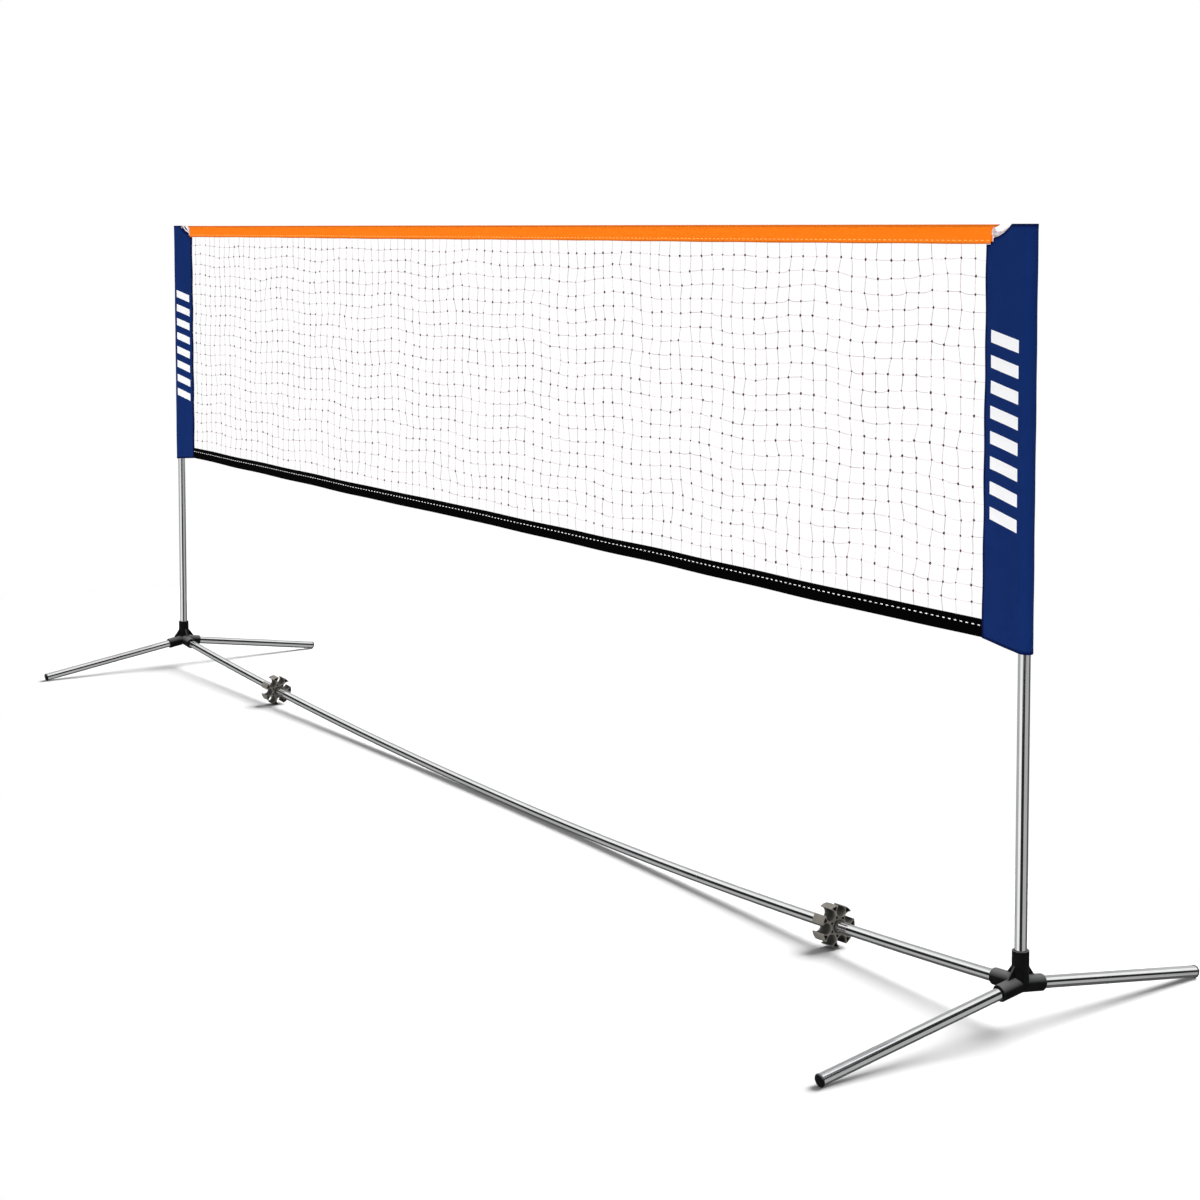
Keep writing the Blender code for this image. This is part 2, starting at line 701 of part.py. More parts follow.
def make_sleeve(label, side, axis):
    """A cloth folded round the post into a pocket, with a curved notch at its inner top corner."""
    turn = Matrix.Rotation(math.pi if side > 0 else 0.0, 4, "Z")
    stand = Matrix.Translation((side * POST_X, 0, 0)) @ turn
    margin = 0.01
    outline = folded_outline(wrap_loop, SLEEVE_R, TAPE_GAP, SLEEVE_REACH, 24)
    place = stand @ Matrix.Translation((0, 0, (SLEEVE_OUTER_LOW_Z + TOP_Z) / 2))
    height = TOP_Z - SLEEVE_OUTER_LOW_Z + 2 * margin
    sleeve = as_mesh(flat_shape(f"{label}_sleeve", [outline], height, place))
    outer_x = -SLEEVE_R - margin
    slope = (SLEEVE_INNER_LOW_Z - SLEEVE_OUTER_LOW_Z) / (SLEEVE_REACH + SLEEVE_R + SHEET)
    outer_low = SLEEVE_OUTER_LOW_Z - slope * (margin - SHEET)
    silhouette = [(outer_x, TOP_Z), *notch_points(10), (NOTCH_STEP_X, NOTCH_SHELF_Z)]
    silhouette += [(NOTCH_SHELF_X, NOTCH_SHELF_Z), (NOTCH_SHELF_X, NOTCH_STEP_Z)]
    silhouette += [(SLEEVE_REACH, NOTCH_STEP_Z), (SLEEVE_REACH, SLEEVE_INNER_LOW_Z)]
    silhouette.append((outer_x, outer_low))
    upright = stand @ axes_at((0, 0, 0), (1, 0, 0), (0, 0, 1))
    flat = flat_shape(f"{label}_sleeve_silhouette", [silhouette], 0.1, upright, cutter=True)
    combine(sleeve, "INTERSECT", [as_mesh(flat)])
    give_material(sleeve, "navy_cloth")
    carry(sleeve, axis)


def main():
    slide_axes = {}
    for label, side in SIDE_OF.items():
        make_connector(label, side)
        for place, forward in (("front", -1), ("back", 1)):
            make_foot(f"{label}_{place}", side, forward)
        make_lower_post(label, side)
        make_lock_collar(label, side)
        slide_axes[label] = axis_empty(f"{label}_slide_axis", Matrix.Translation((side * POST_X, 0, TOP_Z)))
        make_upper_post(label, side, slide_axes[label])
        make_sleeve(label, side, slide_axes[label])
    make_crossbar()
    make_clip("left", LEFT_CLIP_X)
    make_clip("right", RIGHT_CLIP_X)
    make_tapes(slide_axes["left"])
    make_net(slide_axes["left"])
    make_rope(slide_axes["left"])


main()
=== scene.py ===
"""Looks of the badminton net set: steel, moulded plastic, cloth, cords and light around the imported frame.

Metres, +Z up, in the frame of the CAD: the origin is on the floor under the middle of the
ground bar, +X runs along the bar to the right stand and -Y faces the viewer.
"""

import json
import math

import bmesh
import bpy
import numpy as np
from mathutils import Matrix, Vector


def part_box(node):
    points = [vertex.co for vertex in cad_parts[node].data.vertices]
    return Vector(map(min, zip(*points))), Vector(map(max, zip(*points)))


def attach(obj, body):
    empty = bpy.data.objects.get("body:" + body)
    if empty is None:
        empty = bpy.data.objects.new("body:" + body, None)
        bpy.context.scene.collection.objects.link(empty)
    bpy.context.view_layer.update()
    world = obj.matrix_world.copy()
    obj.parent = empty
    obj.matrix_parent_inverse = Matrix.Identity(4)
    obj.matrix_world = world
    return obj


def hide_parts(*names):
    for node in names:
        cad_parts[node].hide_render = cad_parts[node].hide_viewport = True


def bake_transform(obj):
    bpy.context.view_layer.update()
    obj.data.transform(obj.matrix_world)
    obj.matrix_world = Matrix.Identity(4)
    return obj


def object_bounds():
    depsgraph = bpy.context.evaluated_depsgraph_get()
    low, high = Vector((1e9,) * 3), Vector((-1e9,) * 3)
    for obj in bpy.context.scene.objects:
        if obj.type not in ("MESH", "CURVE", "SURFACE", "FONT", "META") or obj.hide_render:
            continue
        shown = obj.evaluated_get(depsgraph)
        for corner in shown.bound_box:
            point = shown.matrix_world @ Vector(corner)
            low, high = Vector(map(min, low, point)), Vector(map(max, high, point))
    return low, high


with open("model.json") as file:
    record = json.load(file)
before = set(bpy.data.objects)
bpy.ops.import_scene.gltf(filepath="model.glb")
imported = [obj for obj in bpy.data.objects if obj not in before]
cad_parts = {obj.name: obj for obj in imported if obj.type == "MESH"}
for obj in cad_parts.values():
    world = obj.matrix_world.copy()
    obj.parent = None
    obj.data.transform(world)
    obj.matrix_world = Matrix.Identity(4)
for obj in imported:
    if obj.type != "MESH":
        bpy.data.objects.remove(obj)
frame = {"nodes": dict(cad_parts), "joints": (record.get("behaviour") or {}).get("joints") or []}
cad_low, cad_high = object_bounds()

SIDE_OF = {"left": -1, "right": 1}

# Camera, in the photograph's 1200 by 1200 pixels
IMAGE_SIZE = 1200
FOCAL_PIXELS = 2105
OPTICAL_ROW = 360
CAMERA_PLACE = (4.900, -2.888, 1.542)
CAMERA_YAW = math.radians(56.14)
CAMERA_PITCH = math.radians(-3.59)
SENSOR = 36.0

# Angles in degrees between faces, over which an edge is shaded sharp
TUBE_SHARP = 30
SOLID_SHARP = 40
MOULD_SHARP = 42
CLOTH_SHARP = 60
ROPE_SHARP = 70
THREAD_SHARP = 80

# Stands
POST_X = (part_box("right_lower_post")[0].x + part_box("right_lower_post")[1].x) / 2
HUB_Z = 0.088
TUBE_R = 0.012
TUBE_WALL = 0.0009
UPPER_R = 0.0105
UPPER_WALL = 0.0008
TUBE_SIDES = 56
TUBE_EDGE = 0.00012
FOOT_REACH = 0.51
FOOT_TIP_Z = 0.0111
GAP = 0.0003
SOFT_EDGE = 0.0003
TURNED_SIDES = 64

# Connector
SOCKET_R = 0.0168
POST_SOCKET = 0.066
BAR_SOCKET = 0.069
FOOT_SOCKET = 0.057
BORE_START = 0.016
BORE_PAST = 0.01
MOUTH_R = 0.0132
MOUTH_DEPTH = 0.0012
WEB_THICKNESS = 0.0042
WEB_RISE = 0.043
WEB_RUN = 0.042
WEB_TOE = 0.004
MOULD_VOXEL = 0.0009

# Foot end plugs and post caps
PLUG_HEAD_R = 0.0128
PLUG_HEAD = 0.006
PLUG_RIM = 0.002
PLUG_STEM = 0.018
PLUG_DOME_START = math.radians(8)
PLUG_CROWN = 0.8
CAP_FLANGE_Z = 1.5368
CAP_GROOVE_Z = (1.5385, 1.5431)
CAP_GROOVE_R = 0.0061
CAP_DOME = 0.0025

# Ground bar
BAR_LOW_Z = 0.0125
BAR_LOW_X = 0.25
BAR_SECTIONS = 4
BAR_SEAM = 0.0002
BAR_RINGS = 44

# Storage clips
CLIP_POCKETS = 7
CLIP_FIRST = math.radians(-78)
CLIP_LENGTH = 0.036
CLIP_CENTRE_R = 0.0332
CLIP_POCKET_R = 0.0122
CLIP_OUTER_R = 0.045
CLIP_WALL = 0.0020
CLIP_LIP_R = 0.0017
CLIP_APEX_R = 0.0015
CLIP_CORNER_R = 0.0012
CLIP_HOLE_R = 0.0027
CLIP_HOLE_CENTRE_R = 0.0200
CLIP_EDGE = 0.0004

# Net
TOP_Z = cad_high.z
NET_COLUMNS = 96
NET_ROWS = 22
NET_EDGE_X = 1.9465
NET_TOP_Z = 1.5135
NET_LOW_Z = 0.7755
NET_HEM = 0.02
SWAY_FROM_HEM = 0.35
KNOT_LEAN = 0.0027
KNOT_DROP = 0.0048
KNOT_DEPTH = 0.0006
THREAD_R = 0.00044
THREAD_STEPS = 3
THREAD_SIDES = 5
THREAD_DROP = (0.0012, 0.0009)
THREAD_LEAN = 0.0007
THREAD_BELLY = 0.0005
KNOT_R = 0.0031
KNOT_THREAD_R = 0.00105
KNOT_STEPS = 20
KNOT_SIDES = 4
KNOT_TURN = 0.7
KNOT_SIZES = (0.58, 1.10)
KNOT_HEIGHT = 1.15

# Tapes
CLOTH = 0.0010
TAPE_HALF_GAP = 0.0014
TAPE_STEP = 0.006
TOP_TAPE_LOW_Z = 1.5105
TOP_TAPE_HIGH_Z = 1.549
TOP_TAPE_END_X = 1.950
TOP_TAPE_FOLD = 0.0028
TOP_TAPE_FLAP = 0.035
TOP_TAPE_TIP = 0.020
TIP_DEPTH = (0.0045, 0.0072)
LOW_TAPE_LOW_Z = 0.743
LOW_TAPE_HIGH_Z = 0.779
LOW_TAPE_END_X = 1.9363
LOW_TAPE_FOLD = 0.0019

# Stitches as (pitch, length, radius), and how far a row stays from a tape's ends and its sewn edge
TOP_STITCH = (0.0156, 0.0105, 0.00105)
TOP_ROW_INSET = (0.004, 0.0072)
LOW_STITCH = (0.0165, 0.0085, 0.0012)
LOW_ROW_INSET = (0.003, 0.0120)
SEAM_STITCH = (0.0052, 0.0034, 0.00042)
SEAM_INSET = 0.0075
SEAM_SINK = 0.62
STITCH_SIDES = 6
# Along a stitch, in shares of its length and its radius: the place, the girth and the height
STITCH_SHAPE = np.array((
    (-0.5, 0.25, -0.9), (-0.42, 0.75, -0.35), (-0.2, 1.0, 0.0),
    (0.2, 1.0, 0.0), (0.42, 0.75, -0.35), (0.5, 0.25, -0.9),
))

# Sleeves: the columns and rows that lie close together are in the hems
SLEEVE_R = 0.0157
SLEEVE_REACH = 0.1132
SLEEVE_OUTER_LOW_Z = 0.731
SLEEVE_INNER_LOW_Z = 0.743
SLEEVE_ROWS = 128
SEAM_COLUMNS = (0.0, 0.0015, 0.0038, 0.0062, 0.0074, 0.0086, 0.0110, 0.0133, 0.0139)
HEM_ROWS = (0.0, 0.002, 0.005, 0.0080, 0.0092, 0.0104, 0.0125)
PAST_HEM = 0.0165
HEM_WIDTH = 0.0098
HEM_FADE = 0.0012
SLEEVE_WAVES = {-1: (4.1, 0.0014), 1: (1.3, 0.0007)}
SLEEVE_BULGE = 0.00045
RIPPLE_WIDTH = 0.04
STEP_COLUMNS = (0.0040, 0.0003, -0.0003)
NOTCH_COLUMNS = 24
FLAP_COLUMNS = 15
ROUND_COLUMNS = 36
# How far the flaps' folds and the rows of stitches keep from the sleeve's edges
FOLD_CLEAR = (0.012, 0.007)
FOLD_FADE = (0.04, 0.03)
UPRIGHT_SEAM_CLEAR = (0.012, 0.010)
LEVEL_SEAM_CLEAR = (0.010, 0.011)
NOTCH_CENTRE = (0.0999, 1.6149)
NOTCH_RADII = (0.092, 0.092)
NOTCH_STEP = 0.0912
NOTCH_SHELF = 0.0996
NOTCH_SHELF_Z = 1.5160
NOTCH_STEP_Z = 1.5104

# White bars printed on the sleeves' front faces
BARS_LOW_Z = 0.948
BAR_COUNT = 8
BAR_PITCH = 0.049
BAR_SHARE = 0.50
BAR_SLANT = 0.20
BAR_INWARD = (0.010, 0.0945)

# Rope: its routes between the post and the orange tape, as distance in from the post's axis and height
ROPE_R = 0.002
ROPE_SIDES = 8
ROPE_PITCH = 0.013
ROPE_STEP = 0.0011
SPLINE_STEPS = 24
STRAND_OFFSET = 0.47
STRAND_SHARE = 0.53
CORE_SHARE = 0.95
ROPE_HIDDEN_X = 1.915
ROPE_HIDDEN_RINGS = 90
LOOP_R = 0.0087
LOOP_Z = 1.5408
LOOP_STEPS = 50
STRAND_END = np.array(((0, 1, 2, 3), (0, 3, 4, 7), (4, 5, 6, 7)))
ROPE_ROUTE = (
    (0.0115, 1.5408), (0.0200, 1.5412), (0.0280, 1.5450), (0.0340, 1.5475), (0.0410, 1.5466),
    (0.0500, 1.5405), (0.0580, 1.5359), (0.0660, 1.5323), (0.0750, 1.5292), (0.0840, 1.5272),
    (0.0895, 1.5266), (0.0922, 1.5300), (0.0930, 1.5365), (0.0948, 1.5425), (0.0978, 1.5450),
    (0.1020, 1.5452), (0.1400, 1.5452),
)
ROPE_TAIL = (
    (0.0115, 1.5408), (0.0220, 1.5404), (0.0300, 1.5440), (0.0350, 1.5474), (0.0425, 1.5480),
    (0.0505, 1.5437), (0.0590, 1.5389), (0.0680, 1.5350), (0.0770, 1.5321), (0.0855, 1.5298),
    (0.0912, 1.5272), (0.0950, 1.5295), (0.0952, 1.5360), (0.0930, 1.5400), (0.0902, 1.5380),
    (0.0902, 1.5320), (0.0918, 1.5245), (0.0932, 1.5165),
)
ROPE_RETURN = (
    (0.0115, 1.5408), (0.0230, 1.5420), (0.0330, 1.5472), (0.0440, 1.5490), (0.0520, 1.5462),
    (0.0600, 1.5419), (0.0690, 1.5381), (0.0780, 1.5354), (0.0860, 1.5337), (0.0925, 1.5348),
    (0.0945, 1.5385),
)
# Each route with how far its middle stands in front of the net
ROPE_ROUTES = ((ROPE_ROUTE, 0.0), (ROPE_TAIL, 0.0030), (ROPE_RETURN, -0.0045))

# Waves as (height, turns along x, turns along z, start), and each sleeve's own start and height
NET_SWAY = ((0.0035, 2.3, 0.0, 0.7), (0.0022, 6.1, 3.0, 0.0), (0.0012, 14.0, -5.0, 0.0))
TOP_TAPE_WAVES = ((0.0005, 3.7, 0.0, 0.4), (0.0003, 23.0, 0.0, 0.0))
SEAM_RIPPLES = ((1.0, 0.0, 48.0, 1.0), (0.6, 0.0, 19.0, -1.0))
BULGES = ((0.00025, 0.0, 43.0, 1.0), (0.0002, 0.0, 17.0, 0.0))
FLAP_FOLDS = ((0.0009, 0.0, 9.0, 1.0), (0.0005, 40.0, 23.0, 2.0), (0.0003, 0.0, 61.0, 1.7))

# Studio
FLOOR_SIDES = 96
SHADOW_REACH = (0.62, 0.80)
FLOOR_RADII = (3.7, 2.5)
FLOOR_COLOUR = (0.50, 0.50, 0.50, 1.0)
PLAIN_WHITE = (1.0, 1.0, 1.0, 1.0)
AMBIENT = 0.48
# Where each sun stands, its width in degrees and strength, whether it lights the floor and casts shadows
SUNS = {
    "key": ((-0.9, 1.3, 4.0), 60.0, 3.2, False, True),
    "fill": ((4.0, -6.0, 3.0), 20.0, 1.9, False, False),
    "floor_key": ((-0.1, 1.0, 1.0), 42.0, 8.7, True, True),
}
# What polished steel reflects: from each height up, the brightness of each sector from its azimuth on
GREY = 0.46
DUSK = 0.10
DARK = 0.02
WHITE = 1.0
REFLECTIONS = (
    (-1.00, ((-180, DUSK), (-145, GREY), (50, DUSK))),
    (-0.60, ((-180, DUSK), (-160, GREY), (60, DUSK))),
    (-0.37, ((-180, GREY), (-121, WHITE), (-71, DARK), (-20, GREY), (50, DUSK), (166, GREY))),
    (-0.19, ((-180, GREY), (-101, WHITE), (-48, DARK), (2, GREY), (60, DUSK), (130, GREY))),
    (-0.10, ((-180, GREY), (-143, DARK), (-130, GREY), (0, DARK), (31, GREY), (43, DARK), (60, WHITE),
             (128, GREY))),
    (0.05, ((-180, GREY), (-170, DARK), (-130, GREY), (0, DARK), (31, GREY), (43, DARK), (60, WHITE),
            (118, GREY))),
    (0.20, ((-180, GREY), (-170, DARK), (-130, WHITE), (0, DARK), (60, WHITE), (118, GREY))),
    (0.36, ((-180, GREY), (-170, DARK), (-140, WHITE), (0, DARK), (46, WHITE), (115, GREY), (170, WHITE))),
    (0.45, ((-180, WHITE), (8, DARK), (22, WHITE), (31, DARK), (46, WHITE), (95, GREY), (165, WHITE))),
    (0.65, ((-180, WHITE), (36, DARK), (50, WHITE), (100, GREY))),
    (0.80, ((-180, WHITE), (120, GREY))),
)
SECTOR_BLEND = 2.0
HEIGHT_BLEND = 0.02


# Numbers


def full_turn(steps):
    """Angles once round, the last one a step short of the first."""
    return np.linspace(0.0, 2 * math.pi, steps, endpoint=False)


def unit(value):
    return np.clip(value, 0.0, 1.0)


def points_of(x, y, z):
    """Points from coordinates whose shapes fit each other."""
    return np.stack(np.broadcast_arrays(x, y, z), axis=-1)


def length_along(path):
    """How far along a path each of its points is."""
    return np.concatenate([[0.0], np.cumsum(np.linalg.norm(np.diff(path, axis=0), axis=1))])


def waves(table, x, z, seed=1.0):
    return sum(height * np.sin(along * x + up * z + start * seed) for height, along, up, start in table)


def arc(centre, radius, start, end, steps):
    angles = np.linspace(start, end, steps + 1)
    return [(centre[0] + radius * math.cos(a), centre[1] + radius * math.sin(a)) for a in angles]


def looking_along(point, direction):
    """A placement at a point, whose local Z runs along a direction."""
    return Matrix.Translation(point) @ Vector(direction).to_track_quat("Z", "X").to_matrix().to_4x4()


def axes_at(point, x_axis, y_axis):
    x_axis, y_axis = Vector(x_axis).normalized(), Vector(y_axis).normalized()
    turn = Matrix((x_axis, y_axis, x_axis.cross(y_axis))).transposed().to_4x4()
    return Matrix.Translation(point) @ turn


# Meshes


def configured(thing, **settings):
    for key, value in settings.items():
        setattr(thing, key, value)
    return thing


def add_object(name, data, **settings):
    obj = configured(bpy.data.objects.new(name, data), **settings)
    bpy.context.scene.collection.objects.link(obj)
    return obj


def shade(mesh, sharp):
    """Shades a mesh smooth but for its sharp edges."""
    mesh.shade_smooth()
    mesh.set_sharp_from_angle(angle=math.radians(sharp))


def add_mesh(name, points, faces, sharp):
    mesh = bpy.data.meshes.new(name)
    faces = faces.tolist() if isinstance(faces, np.ndarray) else faces
    mesh.from_pydata(np.asarray(points, float).reshape(-1, 3).tolist(), [], faces)
    shade(mesh, sharp)
    return add_object(name, mesh)


def grid_faces(rows, columns, wrap_rows=False, wrap_columns=True):
    """Quads over a grid of points, numbered row by row."""
    row = np.arange(rows if wrap_rows else rows - 1)[:, None]
    column = np.arange(columns if wrap_columns else columns - 1)[None, :]
    next_row, next_column = (row + 1) % rows, (column + 1) % columns
    corners = (
        row * columns + column,
        row * columns + next_column,
        next_row * columns + next_column,
        next_row * columns + column,
    )
    return np.stack(corners, axis=-1).reshape(-1, 4)


def repeated(faces, stride, count):
    """The faces of many equal pieces whose points follow each other."""
    return faces[None] + (np.arange(count) * stride)[:, None, None]


def clean(obj, distance=1e-6):
    """Welds points that coincide and turns the faces outwards."""
    shape = bmesh.new()
    shape.from_mesh(obj.data)
    bmesh.ops.remove_doubles(shape, verts=shape.verts, dist=distance)
    bmesh.ops.recalc_face_normals(shape, faces=shape.faces)
    shape.to_mesh(obj.data)
    shape.free()
    return obj


def evaluated_mesh(obj):
    """What an object's modifiers or its curve make of it."""
    bpy.context.view_layer.update()
    return bpy.data.meshes.new_from_object(obj.evaluated_get(bpy.context.evaluated_depsgraph_get()))


def apply_modifiers(obj):
    mesh = evaluated_mesh(obj)
    obj.modifiers.clear()
    obj.data = mesh
    shade(mesh, MOULD_SHARP)


def remove(*objects):
    for obj in objects:
        bpy.data.objects.remove(obj, do_unlink=True)


def frames_along(path):
    """For each point of a path, two unit vectors across it that don't twist."""
    ways = np.gradient(path, axis=0)
    ways /= np.linalg.norm(ways, axis=1)[:, None]
    start = np.cross(ways[0], (0.0, 1.0, 0.0))
    if np.linalg.norm(start) < 0.3:
        start = np.cross(ways[0], (0.0, 0.0, 1.0))
    across = [start / np.linalg.norm(start)]
    for way in ways[1:]:
        side = across[-1] - way * float(across[-1] @ way)
        across.append(side / np.linalg.norm(side))
    across = np.array(across)
    return across, np.cross(ways, across)


def rings(line, across, upright, radii, sides):
    """Rings of points round the points of a line, in the plane of two directions across it."""
    angles = full_turn(sides)[:, None]
    spokes = np.cos(angles) * across[..., None, :] + np.sin(angles) * upright[..., None, :]
    return line[..., None, :] + spokes * np.asarray(radii)[..., None, None]


def rings_along(path, radii, sides):
    return rings(path, *frames_along(path), radii, sides)


def turned(name, profile, place):
    """A profile of (radius, height) points turned about local Z, welded where it meets the axis."""
    angles = full_turn(TURNED_SIDES)
    radius, height = np.asarray(profile, float).T[:, :, None]
    points = points_of(radius * np.cos(angles), radius * np.sin(angles), height)
    obj = add_mesh(name, points, grid_faces(len(profile), TURNED_SIDES), SOLID_SHARP)
    obj.data.transform(place)
    return clean(obj)


def flat_solid(name, outlines, depth, place, edge=0.0):
    """A closed solid between two copies of flat outlines, with its edges softened."""
    curve = configured(bpy.data.curves.new(name, "CURVE"), dimensions="2D", fill_mode="BOTH")
    configured(curve, extrude=depth / 2 - edge, bevel_depth=edge, bevel_resolution=2, offset=-edge)
    for outline in outlines:
        spline = curve.splines.new("POLY")
        spline.points.add(len(outline) - 1)
        for point, (across, up) in zip(spline.points, outline):
            point.co = (across, up, 0.0, 1.0)
        spline.use_cyclic_u = True
    holder = add_object("outlines", curve)
    mesh = evaluated_mesh(holder)
    remove(holder)
    mesh.transform(place)
    shade(mesh, SOLID_SHARP)
    return clean(add_object(name, mesh))


def thick_sheet(name, middle, thickness):
    """A closed cloth about a grid of points on its middle surface, with its four rims."""
    rows, columns = middle.shape[:2]
    normal = np.cross(np.gradient(middle, axis=0), np.gradient(middle, axis=1))
    normal /= np.maximum(np.linalg.norm(normal, axis=2), 1e-12)[:, :, None]
    offset = normal * (np.broadcast_to(thickness, (rows, columns)) / 2)[:, :, None]
    count = rows * columns
    front = grid_faces(rows, columns, wrap_columns=False)
    index = np.arange(count).reshape(rows, columns)
    rim = np.concatenate([index[0, :], index[1:, -1], index[-1, -2::-1], index[-2:0:-1, 0]])
    following = np.roll(rim, -1)
    edges = np.stack([rim, rim + count, following + count, following], axis=-1)
    faces = np.concatenate([front[:, ::-1], front + count, edges])
    sheet = add_mesh(name, np.stack([middle + offset, middle - offset]), faces, CLOTH_SHARP)
    return clean(sheet, distance=1e-7)


def set_attribute(obj, name, values):
    """Stores a number or a vector for each point of a mesh, for its material to read."""
    vectors = np.ndim(values) > 1
    attribute = obj.data.attributes.new(name, "FLOAT_VECTOR" if vectors else "FLOAT", "POINT")
    attribute.data.foreach_set("vector" if vectors else "value", np.asarray(values, np.float32).ravel())


# Materials


class Nodes:
    """Adds nodes to a tree and feeds their sockets with values or other sockets."""

    def __init__(self, tree):
        self.tree = tree

    def node(self, kind, inputs=None, **settings):
        made = configured(self.tree.nodes.new(f"ShaderNode{kind}"), **settings)
        for key, value in (inputs or {}).items():
            self.feed(made.inputs[key], value)
        return made

    def feed(self, socket, value):
        if isinstance(value, bpy.types.NodeSocket):
            self.tree.links.new(value, socket)
        else:
            socket.default_value = value

    def math(self, operation, first, second=0.0, third=0.0):
        return self.node("Math", {0: first, 1: second, 2: third}, operation=operation).outputs[0]

    def split(self, vector):
        return self.node("SeparateXYZ", {"Vector": vector}).outputs

    def blend(self, share, first, second):
        return self.node("Mix", {0: share, 2: first, 3: second}, data_type="FLOAT").outputs[0]

    def smooth_step(self, value, low, high):
        inputs = {"Value": value, "From Min": low, "From Max": high}
        return self.node("MapRange", inputs, interpolation_type="SMOOTHSTEP").outputs[0]

    def ramp(self, value, stops):
        """Maps a value through (position, grey or colour) stops, in rising order of position."""
        made = self.node("ValToRGB", {"Fac": value})
        elements = made.color_ramp.elements
        elements.remove(elements[-1])
        for number, (position, colour) in enumerate(stops):
            element = elements.new(position) if number else elements[0]
            red_green_blue = colour if isinstance(colour, tuple) else (colour, colour, colour)
            configured(element, position=position, color=(*red_green_blue, 1.0))
        return made.outputs["Color"]


class Surface(Nodes):
    """A Principled material whose colour, roughness and bumps come from nodes."""

    def __init__(self, name, roughness, metallic=0.0, shine=0.5):
        self.material = bpy.data.materials.new(name)
        self.material.use_nodes = True
        super().__init__(self.material.node_tree)
        self.shader = self.tree.nodes["Principled BSDF"]
        self.under = {}
        self.set("Roughness", roughness)
        self.set("Metallic", metallic)
        self.set("Specular IOR Level", shine)
        self.place = self.node("TexCoord").outputs["Object"]

    def set(self, socket, value):
        self.feed(self.shader.inputs[socket], value)

    def noise(self, scale, vector=None, detail=2.0, rough=0.5):
        inputs = {"Vector": self.place if vector is None else vector, "Scale": scale}
        return self.node("TexNoise", {**inputs, "Detail": detail, "Roughness": rough}).outputs["Fac"]

    def attribute(self, name, output="Vector"):
        return self.node("Attribute", attribute_name=name).outputs[output]

    def mix(self, share, first, second, kind="MIX"):
        first, second = ((*value, 1.0) if isinstance(value, tuple) else value for value in (first, second))
        inputs = {0: share, 6: first, 7: second}
        return self.node("Mix", inputs, data_type="RGBA", blend_type=kind).outputs[2]

    def bump(self, height, distance, strength):
        """Lays a bump over those already there."""
        inputs = {"Height": height, "Distance": distance, "Strength": strength, **self.under}
        self.under = {"Normal": self.node("Bump", inputs).outputs[0]}
        self.set("Normal", self.under["Normal"])

    def weave(self, vector, warp, weft):
        """Height of a plain weave, its warp and weft threads apart along X and Y."""
        place = self.split(vector)
        turns = [self.math("DIVIDE", place[0], warp), self.math("DIVIDE", place[1], weft)]
        checker = self.math("ADD", *(self.math("FLOOR", turn) for turn in turns))
        checker = self.math("ABSOLUTE", self.math("MODULO", checker, 2.0))
        heights = [self.math("SINE", self.math("MULTIPLY", turn, math.pi)) for turn in turns]
        return self.blend(checker, *(self.math("ABSOLUTE", height) for height in heights))


def polished_steel(along):
    """Bright plated steel, with faint drawing marks along one axis and a few dull smudges."""
    surface = Surface(f"steel_along_{along.lower()}", 0.10, metallic=1.0)
    stretched = [700.0, 700.0, 700.0]
    stretched["XYZ".index(along)] = 9.0
    drawn = surface.node("Mapping", {"Vector": surface.place, "Scale": stretched}).outputs[0]
    marks = surface.noise(1.0, drawn, detail=3.0)
    smudges = surface.noise(14.0, detail=4.0, rough=0.6)
    bright = surface.ramp(smudges, [(0.3, (0.80, 0.81, 0.82)), (0.7, (0.87, 0.87, 0.87))])
    surface.set("Base Color", bright)
    dull = surface.math("MULTIPLY_ADD", smudges, 0.05, 0.05)
    surface.set("Roughness", surface.math("MULTIPLY_ADD", marks, 0.03, dull))
    surface.bump(marks, 0.00002, 0.25)
    return surface.material


def moulded_plastic(name, dark, light, roughness, shine, top=None, hollow_depth=None):
    """Injection-moulded plastic: fine grain, flow marks and paler worn edges; top faces paler by a painted
    highlight, hollows darker by painted shade.
    """
    surface = Surface(name, roughness, shine=shine)
    grain = surface.noise(2600.0)
    flow = surface.noise(55.0, detail=3.0, rough=0.6)
    shape = surface.node("NewGeometry").outputs
    body = surface.ramp(flow, [(0.3, dark), (0.75, light)])
    worn = tuple(min(1.0, value * 2.2 + 0.012) for value in light)
    body = surface.mix(surface.ramp(shape["Pointiness"], [(0.52, 0.0), (0.60, 0.55)]), body, worn)
    # Painted highlight: faces that look upward are made paler, standing in for light falling from above.
    if top:
        upward = surface.split(shape["Normal"])[2]
        body = surface.mix(surface.ramp(upward, [(0.25, 0.0), (0.90, 1.0)]), body, top)
    # Painted shade: hollows and recesses are darkened by how little of their surroundings lies open to them.
    if hollow_depth:
        open_share = surface.node("AmbientOcclusion", {"Distance": hollow_depth}).outputs["AO"]
        body = surface.mix(1.0, body, surface.ramp(open_share, [(0.50, 0.03), (0.92, 1.0)]), "MULTIPLY")
    surface.set("Base Color", body)
    surface.set("Roughness", surface.math("MULTIPLY_ADD", grain, 0.16, roughness - 0.08))
    surface.bump(flow, 0.0004, 0.25)
    surface.bump(grain, 0.00012, 0.45)
    return surface.material


